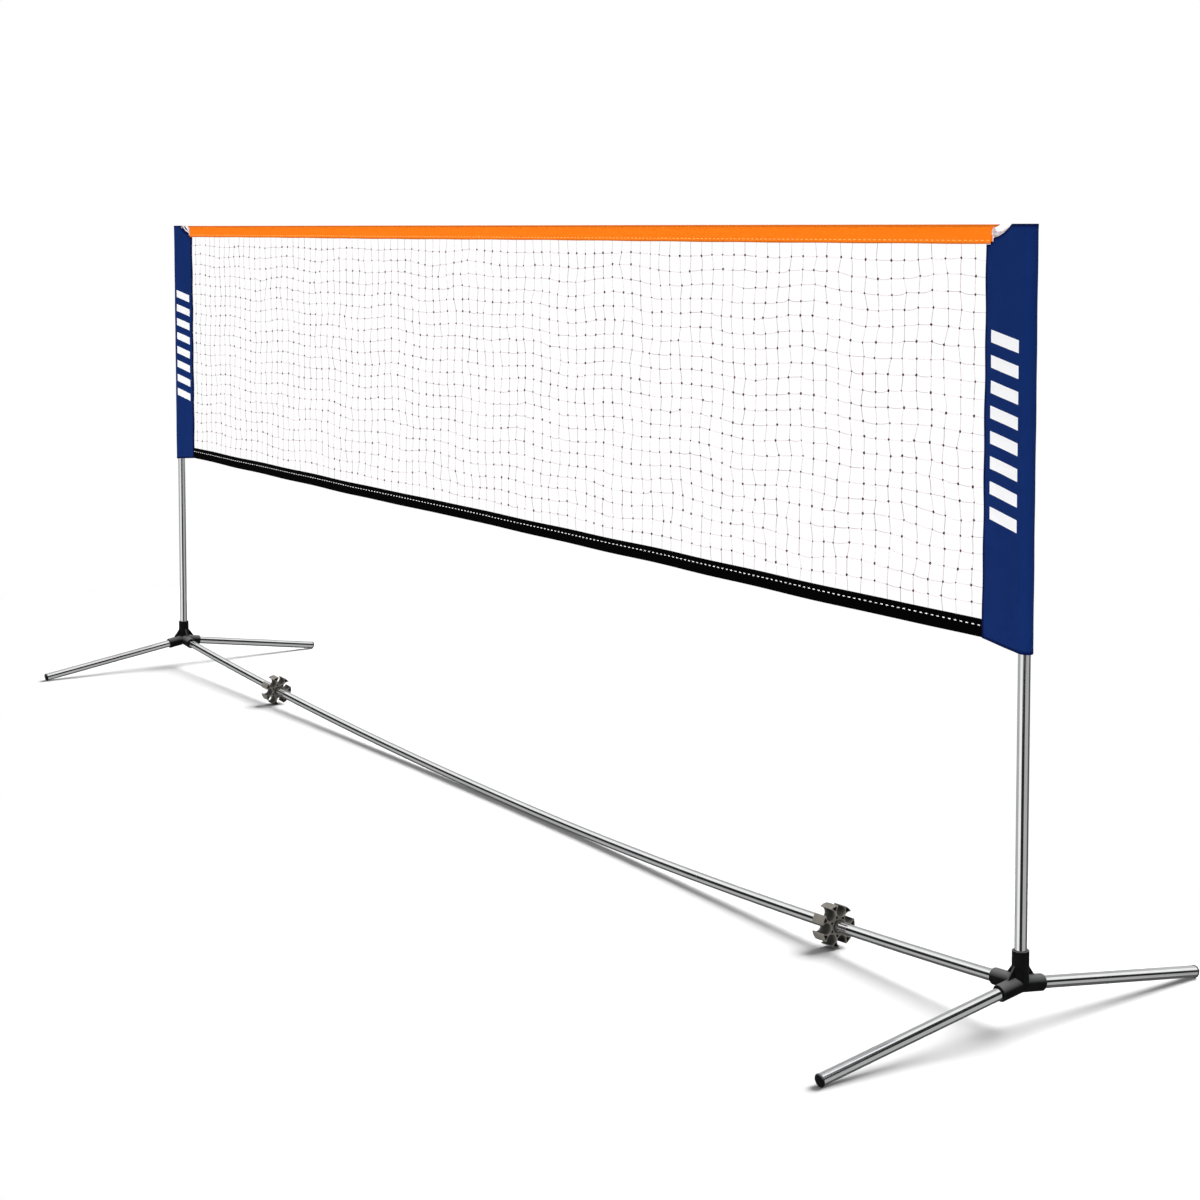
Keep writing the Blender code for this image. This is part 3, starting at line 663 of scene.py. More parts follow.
def sleeve_cloth():
    """Navy woven polyester, darker along its hems, partly the hems' own tone and partly painted shade of
    their folds, with a ladder of plain slanted white bars.
    """
    surface = Surface("navy_cloth", 0.78, shine=0.03)
    flat = surface.attribute("flat")
    inward, height, edge = surface.split(surface.attribute("place"))
    x, y, _ = surface.split(surface.place)
    threads = surface.weave(flat, 0.00085, 0.00085)
    blotch = surface.noise(18.0, flat, detail=4.0, rough=0.6)
    navy = surface.ramp(blotch, [(0.3, (0.0046, 0.0205, 0.110)), (0.72, (0.0058, 0.0232, 0.122))])
    navy = surface.mix(surface.math("MULTIPLY", threads, 0.12), navy, (0.010, 0.032, 0.155))
    # Darker navy within a few millimetres of the hemmed edges: partly the hems' own tone, partly painted
    # shade of their folds.
    hem_and_fold_shade = surface.ramp(surface.math("MULTIPLY", edge, 100.0), [(0.30, 0.85), (0.85, 0.0)])
    navy = surface.mix(hem_and_fold_shade, navy, (0.0012, 0.004, 0.040))
    slanted = surface.math("MULTIPLY_ADD", x, BAR_SLANT, height)
    beside = surface.math("MULTIPLY", surface.math("SIGN", x), POST_X * BAR_SLANT)
    slanted = surface.math("SUBTRACT", slanted, beside)
    step = surface.math("DIVIDE", surface.math("SUBTRACT", slanted, BARS_LOW_Z), BAR_PITCH)
    within = surface.math("ABSOLUTE", surface.math("SUBTRACT", surface.math("FRACT", step), 0.5))
    bar = 1.0
    for comparison, value, limit in (
        ("LESS_THAN", within, BAR_SHARE / 2),
        ("GREATER_THAN", step, 0.0),
        ("LESS_THAN", step, BAR_COUNT),
        ("GREATER_THAN", inward, BAR_INWARD[0]),
        ("LESS_THAN", inward, BAR_INWARD[1]),
        ("LESS_THAN", y, 0.0),
    ):
        bar = surface.math("MULTIPLY", bar, surface.math(comparison, value, limit))
    ink = surface.ramp(threads, [(0.0, (0.80, 0.81, 0.83)), (1.0, (0.90, 0.90, 0.91))])
    surface.set("Base Color", surface.mix(bar, navy, ink))
    surface.set("Roughness", surface.math("MULTIPLY_ADD", bar, -0.22, 0.80))
    surface.bump(blotch, 0.0006, 0.3)
    surface.bump(threads, 0.00012, 0.5)
    return surface.material


def woven_tape(name, colours, edge_shade_colour, edge_shade_stops):
    """Sewn webbing: lengthwise ribs, a crosswise weave, and both edges darkened by painted shade of the fold.
    """
    surface = Surface(name, 0.72, shine=0.02)
    flat = surface.attribute("flat")
    threads = surface.weave(flat, 0.0016, 0.0011)
    blotch = surface.noise(9.0, flat, detail=5.0, rough=0.65)
    body = surface.ramp(blotch, [(0.3, colours[0]), (0.7, colours[1])])
    body = surface.mix(surface.math("MULTIPLY", threads, 0.35), body, colours[2])
    # Painted shade: the colour turns toward the edge colour close to both edges of the tape.
    edges = surface.ramp(surface.split(flat)[2], edge_shade_stops)
    surface.set("Base Color", surface.mix(edges, body, edge_shade_colour))
    surface.set("Roughness", surface.math("MULTIPLY_ADD", threads, 0.12, 0.66))
    surface.bump(blotch, 0.0008, 0.25)
    surface.bump(threads, 0.00012, 0.4)
    return surface.material


def thread_material(name, *stops):
    """Twisted cord whose tone changes from strand to strand by the point attribute tone."""
    surface = Surface(name, 0.7, shine=0.15)
    fuzz = surface.noise(900.0)
    tone = surface.math("MULTIPLY", surface.attribute("tone", "Fac"), 0.8)
    surface.set("Base Color", surface.ramp(surface.math("MULTIPLY_ADD", fuzz, 0.35, tone), stops))
    surface.bump(fuzz, 0.0002, 0.5)
    return surface.material


STEEL = {along: polished_steel(along) for along in "XYZ"}
# Its paler top faces are a painted highlight.
BLACK_PLASTIC = moulded_plastic(
    "black_plastic", (0.0022, 0.0022, 0.0025), (0.0045, 0.0045, 0.0050), 0.40, 0.06, top=(0.105, 0.105, 0.107)
)
# Its darkened hollows are painted shade.
CLIP_PLASTIC = moulded_plastic(
    "clip_plastic", (0.115, 0.108, 0.094), (0.165, 0.155, 0.136), 0.48, 0.20, hollow_depth=0.026
)
NAVY_CLOTH = sleeve_cloth()
# The darker orange at both edges is painted shade.
ORANGE_TAPE = woven_tape(
    "orange_tape",
    ((0.96, 0.185, 0.0070), (1.0, 0.205, 0.0085), (1.0, 0.225, 0.012)),
    (0.56, 0.130, 0.012),
    [(0.05, 1.0), (0.10, 0.0), (0.85, 0.0), (0.92, 1.0)],
)
# Its edge colour is painted shade, nearly as dark as the tape itself.
BLACK_TAPE = woven_tape(
    "black_tape",
    ((0.0002, 0.0002, 0.0002), (0.0004, 0.0004, 0.0004), (0.0010, 0.0010, 0.0011)),
    (0.001, 0.001, 0.001),
    [(0.02, 1.0), (0.05, 0.0), (0.95, 0.0), (0.98, 1.0)],
)
NET_THREAD = thread_material(
    "net_thread",
    (0.2, (0.78, 0.64, 0.68)),
    (0.5, (0.52, 0.38, 0.42)),
    (0.8, (0.30, 0.20, 0.23)),
    (0.97, (0.20, 0.04, 0.07)),
)
NET_KNOT = thread_material(
    "net_knot", (0.2, (0.022, 0.014, 0.017)), (0.5, (0.085, 0.014, 0.026)), (0.85, (0.075, 0.045, 0.055))
)
ROPE_WHITE = thread_material(
    "white_rope", (0.1, (0.34, 0.26, 0.28)), (0.5, (0.62, 0.54, 0.56)), (0.9, (0.80, 0.75, 0.76))
)
STITCH_WHITE = thread_material("white_stitch", (0.1, (0.80, 0.79, 0.78)), (0.6, (0.92, 0.91, 0.90)))
STITCH_ORANGE = thread_material("orange_stitch", (0.1, (1.0, 0.38, 0.07)), (0.6, (1.0, 0.50, 0.14)))
STITCH_NAVY = thread_material("navy_stitch", (0.1, (0.004, 0.012, 0.07)), (0.6, (0.012, 0.032, 0.15)))


def finish_piece(obj, material, body, replaced=(), gathers=False):
    """Gives a piece its material and hides the CAD nodes it replaces; a piece that gathers keeps its
    placement baked into its mesh, any other is attached to its body.
    """
    obj.data.materials.clear()
    obj.data.materials.append(material)
    if gathers:
        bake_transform(obj)
    else:
        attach(obj, body)
    if replaced:
        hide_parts(*replaced)


# Steel tubes


def bar_span(x):
    return POST_X - BAR_LOW_X if x > BAR_LOW_X else POST_X + BAR_LOW_X


def bar_z(x):
    return BAR_LOW_Z + (HUB_Z - BAR_LOW_Z) * ((x - BAR_LOW_X) / bar_span(x)) ** 2


def bar_direction(x):
    slope = 2 * (HUB_Z - BAR_LOW_Z) * (x - BAR_LOW_X) / bar_span(x) ** 2
    return Vector((1.0, 0.0, slope)).normalized()


def foot_direction(forward):
    slope = math.asin((HUB_Z - FOOT_TIP_Z) / FOOT_REACH)
    return Vector((0.0, forward * math.cos(slope), -math.sin(slope)))


def make_tube(node, path, outer, wall, along, body):
    """An open tube with softened rims: up its outside and back down its inside."""
    first, last = (way / np.linalg.norm(way) for way in (path[1] - path[0], path[-1] - path[-2]))
    start, end = path[0] + first * TUBE_EDGE, path[-1] - last * TUBE_EDGE
    line = np.vstack([path[0], start, path[1:-1], end, path[-1]])
    outside = np.full(len(line), outer)
    outside[[0, -1]] -= TUBE_EDGE
    inside = rings_along(line, outer - wall, TUBE_SIDES)[::-1]
    points = np.vstack([rings_along(line, outside, TUBE_SIDES), inside])
    faces = grid_faces(len(points), TUBE_SIDES, wrap_rows=True)
    tube = clean(add_mesh(f"{node}_steel", points, faces, TUBE_SHARP))
    finish_piece(tube, STEEL[along], body, [node])


def make_crossbar():
    reach = POST_X - BORE_START - GAP
    section = 2 * reach / BAR_SECTIONS
    for number in range(BAR_SECTIONS):
        start = -reach + number * section + (BAR_SEAM / 2 if number else 0.0)
        end = -reach + (number + 1) * section - (BAR_SEAM / 2 if number < BAR_SECTIONS - 1 else 0.0)
        path = np.array([(x, 0.0, bar_z(x)) for x in np.linspace(start, end, BAR_RINGS)])
        make_tube(f"crossbar_tube_{number + 1}", path, TUBE_R, TUBE_WALL, "X", "stand")


def make_feet(label, hub):
    for place, forward in (("front", -1), ("back", 1)):
        way = foot_direction(forward)
        node = f"{label}_{place}_foot"
        ends = [hub + way * (BORE_START + GAP), hub + way * (FOOT_REACH - PLUG_HEAD - GAP)]
        make_tube(node, np.linspace(*ends, 3), TUBE_R, TUBE_WALL, "Y", "stand")
        make_foot_plug(f"{node}_cap", hub, way)


def make_foot_plug(node, hub, way):
    """A plug pushed into the tube, with a domed head that is flat where it stands on the floor."""
    stem_r, shoulder = TUBE_R - TUBE_WALL - GAP, PLUG_STEM + PLUG_RIM
    profile = [(0.0, 0.0), (stem_r - SOFT_EDGE, 0.0), (stem_r, SOFT_EDGE), (stem_r, PLUG_STEM)]
    profile += [(PLUG_HEAD_R - SOFT_EDGE, PLUG_STEM), (PLUG_HEAD_R, PLUG_STEM + SOFT_EDGE)]
    profile += [(PLUG_HEAD_R, shoulder)]
    dome, rise = arc((0.0, 0.0), 1.0, PLUG_DOME_START, math.pi / 2, 12)[:-1], PLUG_HEAD - PLUG_RIM
    profile += [(PLUG_HEAD_R * across**PLUG_CROWN, shoulder + rise * up) for across, up in dome]
    profile += [(0.0, PLUG_STEM + PLUG_HEAD)]
    place = looking_along(hub + way * (FOOT_REACH - PLUG_HEAD - PLUG_STEM), way)
    plug = turned(f"{node}_moulded", profile, place)
    shape = bmesh.new()
    shape.from_mesh(plug.data)
    whole = shape.verts[:] + shape.edges[:] + shape.faces[:]
    cut = bmesh.ops.bisect_plane(shape, geom=whole, plane_co=(0, 0, 0), plane_no=(0, 0, -1), clear_outer=True)
    rim = [item for item in cut["geom_cut"] if isinstance(item, bmesh.types.BMEdge)]
    bmesh.ops.holes_fill(shape, edges=rim)
    shape.to_mesh(plug.data)
    shape.free()
    plug.data.set_sharp_from_angle(angle=math.radians(SOLID_SHARP))
    finish_piece(plug, BLACK_PLASTIC, "stand", [node])


def make_posts(label, x):
    for part, body, radius, wall in (
        ("lower", "stand", TUBE_R, TUBE_WALL),
        ("upper", f"{label}_upper", UPPER_R, UPPER_WALL),
    ):
        node = f"{label}_{part}_post"
        ends = [Vector((x, 0, corner.z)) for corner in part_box(node)]
        make_tube(node, np.linspace(*ends, 3), radius, wall, "Z", body)


def make_post_cap(label, x):
    """The grooved cap on the sliding tube, with a crowned top."""
    node = f"{label}_post_cap"
    low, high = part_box(node)
    stem_r, near = UPPER_R - UPPER_WALL - GAP, UPPER_R - SOFT_EDGE
    groove_low, groove_high = CAP_GROOVE_Z
    profile = [(0.0, low.z), (stem_r, low.z), (stem_r, CAP_FLANGE_Z), (near, CAP_FLANGE_Z)]
    profile += [(UPPER_R, CAP_FLANGE_Z + SOFT_EDGE), (UPPER_R, groove_low - SOFT_EDGE), (near, groove_low)]
    profile += [(CAP_GROOVE_R, groove_low), (CAP_GROOVE_R, groove_high), (near, groove_high)]
    profile += [(UPPER_R, groove_high + SOFT_EDGE)]
    profile += arc((UPPER_R - CAP_DOME, high.z - CAP_DOME), CAP_DOME, 0.0, math.pi / 2, 8)
    profile += [(0.0, high.z)]
    cap = turned(f"{node}_moulded", profile, Matrix.Translation((x, 0, 0)))
    finish_piece(cap, BLACK_PLASTIC, f"{label}_upper", [node])


# Moulded connectors


def arm(start, end):
    length = (end - start).length
    profile = [(0, 0), (SOCKET_R, 0), (SOCKET_R, length), (0, length)]
    return turned("arm", profile, looking_along(start, end - start))


def web(hub, direction):
    """A triangular web between the post socket and the socket along a direction."""
    outline = [(0.0, -WEB_TOE), (WEB_RUN, -WEB_TOE), (WEB_RUN, WEB_TOE), (SOCKET_R - WEB_TOE, WEB_RISE)]
    outline += [(0.0, WEB_RISE)]
    place = axes_at(hub, (direction.x, direction.y, 0.0), (0, 0, 1))
    return flat_solid("web", [outline], WEB_THICKNESS, place)


def bore(hub, way, length):
    radius = TUBE_R + GAP
    flare = (MOUTH_R - radius) * BORE_PAST / MOUTH_DEPTH
    profile = [(0.0, BORE_START), (radius, BORE_START), (radius, length - MOUTH_DEPTH)]
    profile += [(MOUTH_R + flare, length + BORE_PAST), (0.0, length + BORE_PAST)]
    return turned("bore", profile, looking_along(hub, way))


def joined(name, pieces):
    """One object that holds the faces of several."""
    shape = bmesh.new()
    for piece in pieces:
        shape.from_mesh(piece.data)
    mesh = bpy.data.meshes.new(name)
    shape.to_mesh(mesh)
    shape.free()
    remove(*pieces)
    return add_object(name, mesh)


def make_connector(label, side, hub):
    """The four-way hub: fused sockets and webs with soft moulded fillets, and crisp bores."""
    up = Vector((0, 0, 1))
    others = [
        (-side * bar_direction(side * POST_X), BAR_SOCKET),
        (foot_direction(-1), FOOT_SOCKET),
        (foot_direction(1), FOOT_SOCKET),
    ]
    node = f"{label}_connector"
    solids = [arm(hub - up * (SOCKET_R / 2), hub + up * POST_SOCKET)]
    for way, length in others:
        solids += [arm(hub, hub + way * length), web(hub, way)]
    body = joined(f"{node}_moulded", solids)
    configured(body.modifiers.new("fuse", "REMESH"), mode="VOXEL", voxel_size=MOULD_VOXEL)
    configured(body.modifiers.new("soften", "SMOOTH"), factor=0.5, iterations=4)
    apply_modifiers(body)
    bores = [bore(hub, way, length) for way, length in [(up, POST_SOCKET), *others]]
    for cutter in bores:
        cut = body.modifiers.new("bore", "BOOLEAN")
        configured(cut, operation="DIFFERENCE", solver="EXACT", object=cutter)
    apply_modifiers(body)
    remove(*bores)
    finish_piece(body, BLACK_PLASTIC, "stand", [node])


# Storage clips


def polar(radius, angle):
    return (radius * math.cos(angle), radius * math.sin(angle))


def clip_angle(radius, pocket_distance):
    """The angle from a pocket's middle line of the point at both distances, from the hub and the pocket."""
    along = (radius**2 - pocket_distance**2 + CLIP_CENTRE_R**2) / (2 * CLIP_CENTRE_R)
    return math.acos(along / radius)


def seen_from_pocket(radius, angle):
    """The direction of a point from a pocket's centre, both angles from the pocket's middle line."""
    return math.atan2(radius * math.sin(angle), radius * math.cos(angle) - CLIP_CENTRE_R)


def clip_outline():
    """Once round the clip: each pocket between its two rounded lips, then the next tooth's blunt end."""
    lip_at = CLIP_OUTER_R - CLIP_LIP_R
    lip_angle = clip_angle(lip_at, CLIP_POCKET_R + CLIP_LIP_R)
    opening = seen_from_pocket(lip_at, lip_angle)
    pitch = 2 * math.pi / CLIP_POCKETS
    outline = []
    for number in range(CLIP_POCKETS):
        facing = CLIP_FIRST + number * pitch
        before, after = facing - lip_angle, facing + lip_angle
        outline += arc(polar(lip_at, before), CLIP_LIP_R, before, facing + math.pi - opening, 7)
        pocket = polar(CLIP_CENTRE_R, facing)
        outline += arc(pocket, CLIP_POCKET_R, facing - opening, facing + opening - 2 * math.pi, 40)[1:-1]
        outline += arc(polar(lip_at, after), CLIP_LIP_R, facing - math.pi + opening, after, 7)
        outline += arc((0.0, 0.0), CLIP_OUTER_R, after, before + pitch, 9)[1:-1]
    return outline


def tooth_hole(number):
    """The rounded triangular opening in the tooth after a pocket, with an even wall all round."""
    half = math.pi / CLIP_POCKETS
    middle = CLIP_FIRST + (2 * number + 1) * half
    corner_at = CLIP_OUTER_R - CLIP_WALL - CLIP_CORNER_R
    corner_angle = clip_angle(corner_at, CLIP_POCKET_R + CLIP_WALL + CLIP_CORNER_R)
    opening = seen_from_pocket(corner_at, corner_angle)
    low, high = middle - half + corner_angle, middle + half - corner_angle
    across = CLIP_CENTRE_R * math.sin(half)
    rise = math.sqrt((CLIP_POCKET_R + CLIP_WALL + CLIP_APEX_R) ** 2 - across**2)
    lean = math.atan2(across, rise)
    apex = polar(CLIP_CENTRE_R * math.cos(half) + rise, middle)
    points = arc(apex, CLIP_APEX_R, middle + math.pi - lean, middle + math.pi + lean, 7)
    points += arc(polar(corner_at, low), CLIP_CORNER_R, middle - half + opening - math.pi, low, 6)
    points += arc((0.0, 0.0), CLIP_OUTER_R - CLIP_WALL, low, high, 5)[1:-1]
    points += arc(polar(corner_at, high), CLIP_CORNER_R, high, middle + half - opening + math.pi, 6)
    return points[::-1]


def make_clip(label):
    """A seven-pocket storage clip on the ground bar, with softened edges."""
    x = next(joint["pos_m"][0] for joint in frame["joints"] if joint["name"] == f"{label}_clip_turn")
    y_axis = Vector((0, 1, 0))
    place = axes_at((x, 0.0, bar_z(x)), y_axis, bar_direction(x).cross(y_axis))
    outlines = [clip_outline(), arc((0.0, 0.0), TUBE_R + GAP, 2 * math.pi, 0.0, 64)[:-1]]
    for number in range(CLIP_POCKETS):
        between = CLIP_FIRST + 2 * math.pi * (number + 0.5) / CLIP_POCKETS
        outlines.append(arc(polar(CLIP_HOLE_CENTRE_R, between), CLIP_HOLE_R, 2 * math.pi, 0.0, 24)[:-1])
        outlines.append(tooth_hole(number))
    node = f"{label}_storage_clip"
    clip = flat_solid(f"{node}_moulded", outlines, CLIP_LENGTH, place, CLIP_EDGE)
    finish_piece(clip, CLIP_PLASTIC, f"{label}_clip", [node])


# Net


def sway(x, z):
    """How far the hanging net stands off its plane, along Y: least at the taut rope and at the sleeves."""
    free = unit((NET_EDGE_X - NET_HEM - np.abs(x)) / SWAY_FROM_HEM)
    hang = 0.15 + 0.85 * unit((TOP_Z - z) / (TOP_Z - NET_LOW_Z))
    return free * free * (3 - 2 * free) * hang * waves(NET_SWAY, x, z)


def net_points():
    """The places of the knots, by column and row, top row first: off the grid in long waves and by chance."""
    random = np.random.default_rng(11)
    column, row = np.meshgrid(np.arange(NET_COLUMNS + 1), np.arange(NET_ROWS + 1), indexing="ij")
    pitch_x, pitch_z = 2 * NET_EDGE_X / NET_COLUMNS, (NET_TOP_Z - NET_LOW_Z) / NET_ROWS
    inner = unit(np.minimum(row, NET_ROWS - row) / 2.0)
    side = unit(np.minimum(column, NET_COLUMNS - column) / 2.0)
    drop = np.sin(2 * math.pi * column / 9.2 + 0.22 * row + 0.8 * np.sin(0.35 * row))
    drop += 0.7 * np.sin(2 * math.pi * column / 15.7 - 0.16 * row + 1.1)
    drop += 0.25 * random.standard_normal(column.shape)
    lean = np.sin(2 * math.pi * row / 7.3 + column * 0.33)
    lean += 0.8 * np.sin(2 * math.pi * row / 12.1 - column * 0.21)
    lean += 1.1 * random.standard_normal(column.shape)
    x = -NET_EDGE_X + column * pitch_x + side * (0.35 + 0.65 * inner) * lean * KNOT_LEAN
    z = NET_TOP_Z - row * pitch_z + inner * (0.45 + 0.55 * side) * drop * KNOT_DROP
    y = sway(x, z) + inner * side * random.standard_normal(column.shape) * KNOT_DEPTH
    return points_of(x, y, z)


def thread_mesh(knots, sag, across, upright):
    """Points and faces of threads through rows of knots, each stretch bellied out by its sag."""
    share = np.linspace(0.0, 1.0, THREAD_STEPS, endpoint=False)[:, None]
    start, end = knots[:, :-1, None], knots[:, 1:, None]
    belly = 4 * share * (1 - share) * sag[:, :, None]
    stretch = (start + (end - start) * share + belly).reshape(len(knots), -1, 3)
    paths = np.concatenate([stretch, knots[:, -1:]], axis=1)
    count, length = paths.shape[:2]
    points = rings(paths, np.array(across), np.array(upright), THREAD_R, THREAD_SIDES)
    faces = repeated(grid_faces(length, THREAD_SIDES), length * THREAD_SIDES, count)
    return points.reshape(-1, 3), faces.reshape(-1, 4)


def thread_tones(random, count, stretches, dark_share):
    """A tone for each point of the threads: one for each stretch between two knots, a few of them dark."""
    tones = random.uniform(0.0, 0.9, (count, stretches)) ** 1.6
    tones[random.uniform(size=tones.shape) < dark_share] = 1.0
    tones = np.repeat(tones, THREAD_STEPS, axis=1)
    tones = np.concatenate([tones, tones[:, -1:]], axis=1)
    return np.repeat(tones.ravel(), THREAD_SIDES)


def make_net():
    random = np.random.default_rng(23)
    knots = net_points()
    level, upright = (NET_ROWS + 1, NET_COLUMNS), (NET_COLUMNS + 1, NET_ROWS)
    drop = -np.abs(random.normal(*THREAD_DROP, level))
    level_sag = points_of(0.0, random.normal(0.0, THREAD_BELLY, level), drop)
    lean = random.normal(0.0, THREAD_LEAN, upright)
    upright_sag = points_of(lean, random.normal(0.0, THREAD_BELLY, upright), 0.0)
    points, faces = thread_mesh(knots.transpose(1, 0, 2), level_sag, (0, 1, 0), (0, 0, 1))
    more_points, more_faces = thread_mesh(knots, upright_sag, (1, 0, 0), (0, 1, 0))
    faces = np.concatenate([faces, more_faces + len(points)])
    threads = add_mesh("net_threads", np.concatenate([points, more_points]), faces, THREAD_SHARP)
    tones = [thread_tones(random, *level, 0.03), thread_tones(random, *upright, 0.09)]
    set_attribute(threads, "tone", np.concatenate(tones))
    finish_piece(threads, NET_THREAD, "left_upper", ["net_mesh"], gathers=True)
    make_knots(knots[1:-1, 1:-1].reshape(-1, 3), random)


def make_knots(places, random):
    """One small overhand knot at each crossing, a trefoil, turned and sized a little differently."""
    turn = full_turn(KNOT_STEPS)
    x, z = np.sin(turn) + 2 * np.sin(2 * turn), np.cos(turn) - 2 * np.cos(2 * turn)
    path = points_of(x, 0.9 * np.sin(3 * turn), z) * ((KNOT_R - KNOT_THREAD_R) / 3)
    closed = np.vstack([path[-1:], path, path[:1]])
    knot_x, knot_y, knot_z = rings_along(closed, KNOT_THREAD_R, KNOT_SIDES)[1:-1].reshape(-1, 3).T
    angles = random.uniform(-KNOT_TURN, KNOT_TURN, len(places))
    sizes = random.uniform(*KNOT_SIZES, len(places))
    mirrored = np.where(random.uniform(size=len(places)) > 0.5, 1.0, -1.0)
    c, s = (np.cos(angles) * sizes)[:, None], (np.sin(angles) * sizes)[:, None]
    across = knot_x * mirrored[:, None]
    x, z = across * c - knot_z * s, (across * s + knot_z * c) * KNOT_HEIGHT
    points = points_of(x, knot_y * sizes[:, None], z)
    faces = repeated(grid_faces(KNOT_STEPS, KNOT_SIDES, wrap_rows=True), len(knot_x), len(places))
    faces[mirrored < 0] = faces[mirrored < 0][:, :, ::-1]
    knots = add_mesh("net_knots", points + places[:, None, :], faces.reshape(-1, 4), THREAD_SHARP)
    set_attribute(knots, "tone", np.repeat(random.uniform(0.0, 1.0, len(places)), len(knot_x)))
    finish_piece(knots, NET_KNOT, "left_upper", gathers=True)


# Stitches


def make_stitches(name, rows, stitch, material, body, gathers=False):
    """Short plump dashes of thread, from rows of centres, ways and directions out of the cloth."""
    _, length, radius = stitch
    centres, ways, outs = (np.concatenate(values) for values in zip(*rows))
    along, girth, height = STITCH_SHAPE.T
    line = centres[:, None] + ways[:, None] * (along * length)[:, None]
    line = line + outs[:, None] * (height * radius)[:, None]
    points = rings(line, np.cross(ways, outs)[:, None], outs[:, None], girth * radius, STITCH_SIDES)
    stride = len(STITCH_SHAPE) * STITCH_SIDES
    tube = grid_faces(len(STITCH_SHAPE), STITCH_SIDES)
    faces = repeated(tube, stride, len(centres)).reshape(-1, 4).tolist()
    for first in range(0, len(centres) * stride, stride):
        faces.append(list(range(first, first + STITCH_SIDES))[::-1])
        faces.append(list(range(first + stride - STITCH_SIDES, first + stride)))
    obj = clean(add_mesh(name, points, faces, CLOTH_SHARP), distance=1e-8)
    set_attribute(obj, "tone", np.resize(np.linspace(0.2, 0.9, 7), len(obj.data.vertices)))
    finish_piece(obj, material, body, gathers=gathers)
    return obj


def stitch_row(centres, way, out):
    return centres, np.tile(way, (len(centres), 1)), np.tile(out, (len(centres), 1))


# Tapes


def folded_profile(radius, reach, steps):
    """Middle line of a cloth folded round a pocket at the origin, both flaps running along +X."""
    lean = math.radians(60)
    join = (radius - TAPE_HALF_GAP * math.sin(lean)) / math.cos(lean)
    upper = [(d, TAPE_HALF_GAP) for d in np.linspace(reach, join, 9)]
    turn = arc((0.0, 0.0), radius, lean, 2 * math.pi - lean, steps)
    return np.array(upper + turn + [(d, -y) for d, y in reversed(upper)])


def tape_sheet(name, fold_edge, flap_edge, fold, steps, end_x, wave, tip=0.0):
    """A tape folded at one edge, swept along X, with its fold longer by a tip; and its girth."""
    upward = math.copysign(1.0, flap_edge - fold_edge)
    fold_z = fold_edge + upward * (fold + CLOTH / 2)
    profile = folded_profile(fold, abs(flap_edge - fold_z), steps)
    inward, across = profile.T
    x = np.linspace(-end_x, end_x, int(2 * end_x / TAPE_STEP) + 1)[:, None] + 0 * inward
    near_end = unit((np.abs(x) - end_x + 3 * tip) / max(3 * tip, TAPE_STEP))
    x = x + np.sign(x) * near_end**2 * tip * unit((TIP_DEPTH[0] - inward) / TIP_DEPTH[1])
    z = fold_z + upward * inward + wave(x, inward)
    tape = thick_sheet(name, points_of(x, across + sway(x, z), z), CLOTH)
    place = np.array([vertex.co for vertex in tape.data.vertices])
    low, high = sorted((fold_edge, flap_edge))
    set_attribute(tape, "flat", points_of(place[:, 0], place[:, 2], unit((place[:, 2] - low) / (high - low))))
    return tape, float(length_along(profile)[-1])


def tape_rows(end_x, z, pitch):
    """Rows of dashes along both faces of a tape."""
    x = np.linspace(-end_x + pitch / 3, end_x - pitch / 3, round(2 * end_x / pitch))
    surface = TAPE_HALF_GAP + CLOTH / 2
    return [
        stitch_row(points_of(x, sway(x, z) + face * surface, z), (1.0, 0.0, 0.0), (0.0, face, 0.0))
        for face in (-1.0, 1.0)
    ]


def make_top_tape():
    """The orange tape, folded over the headline rope and sewn to the net."""

    def wave(x, inward):
        return waves(TOP_TAPE_WAVES, x, 0.0) * (inward / TOP_TAPE_FLAP)

    edges, end_x = (TOP_TAPE_HIGH_Z, TOP_TAPE_LOW_Z), TOP_TAPE_END_X
    tape, girth = tape_sheet("orange_top_tape", *edges, TOP_TAPE_FOLD, 16, end_x, wave, TOP_TAPE_TIP)
    finish_piece(tape, ORANGE_TAPE, "left_upper", ["top_tape"])
    rows = tape_rows(end_x - TOP_ROW_INSET[0], TOP_TAPE_LOW_Z + TOP_ROW_INSET[1], TOP_STITCH[0])
    dashes = make_stitches("top_tape_stitches", rows, TOP_STITCH, STITCH_ORANGE, "left_upper")


def make_low_tape():
    """The black tape, folded under the net."""

    def wave(x, inward):
        return 0.0006 * np.sin(2.9 * x + 1.2) * (1 - inward / 0.04) + 0.0004 * np.sin(17.0 * x)

    edges, end_x = (LOW_TAPE_LOW_Z, LOW_TAPE_HIGH_Z), LOW_TAPE_END_X
    tape, girth = tape_sheet("black_bottom_tape", *edges, LOW_TAPE_FOLD, 12, end_x, wave)
    finish_piece(tape, BLACK_TAPE, "left_upper", ["bottom_tape"], gathers=True)
    rows = tape_rows(end_x - LOW_ROW_INSET[0], LOW_TAPE_HIGH_Z - LOW_ROW_INSET[1], LOW_STITCH[0])
    dashes = make_stitches("bottom_tape_stitches", rows, LOW_STITCH, STITCH_WHITE, "left_upper", gathers=True)


# Sleeves


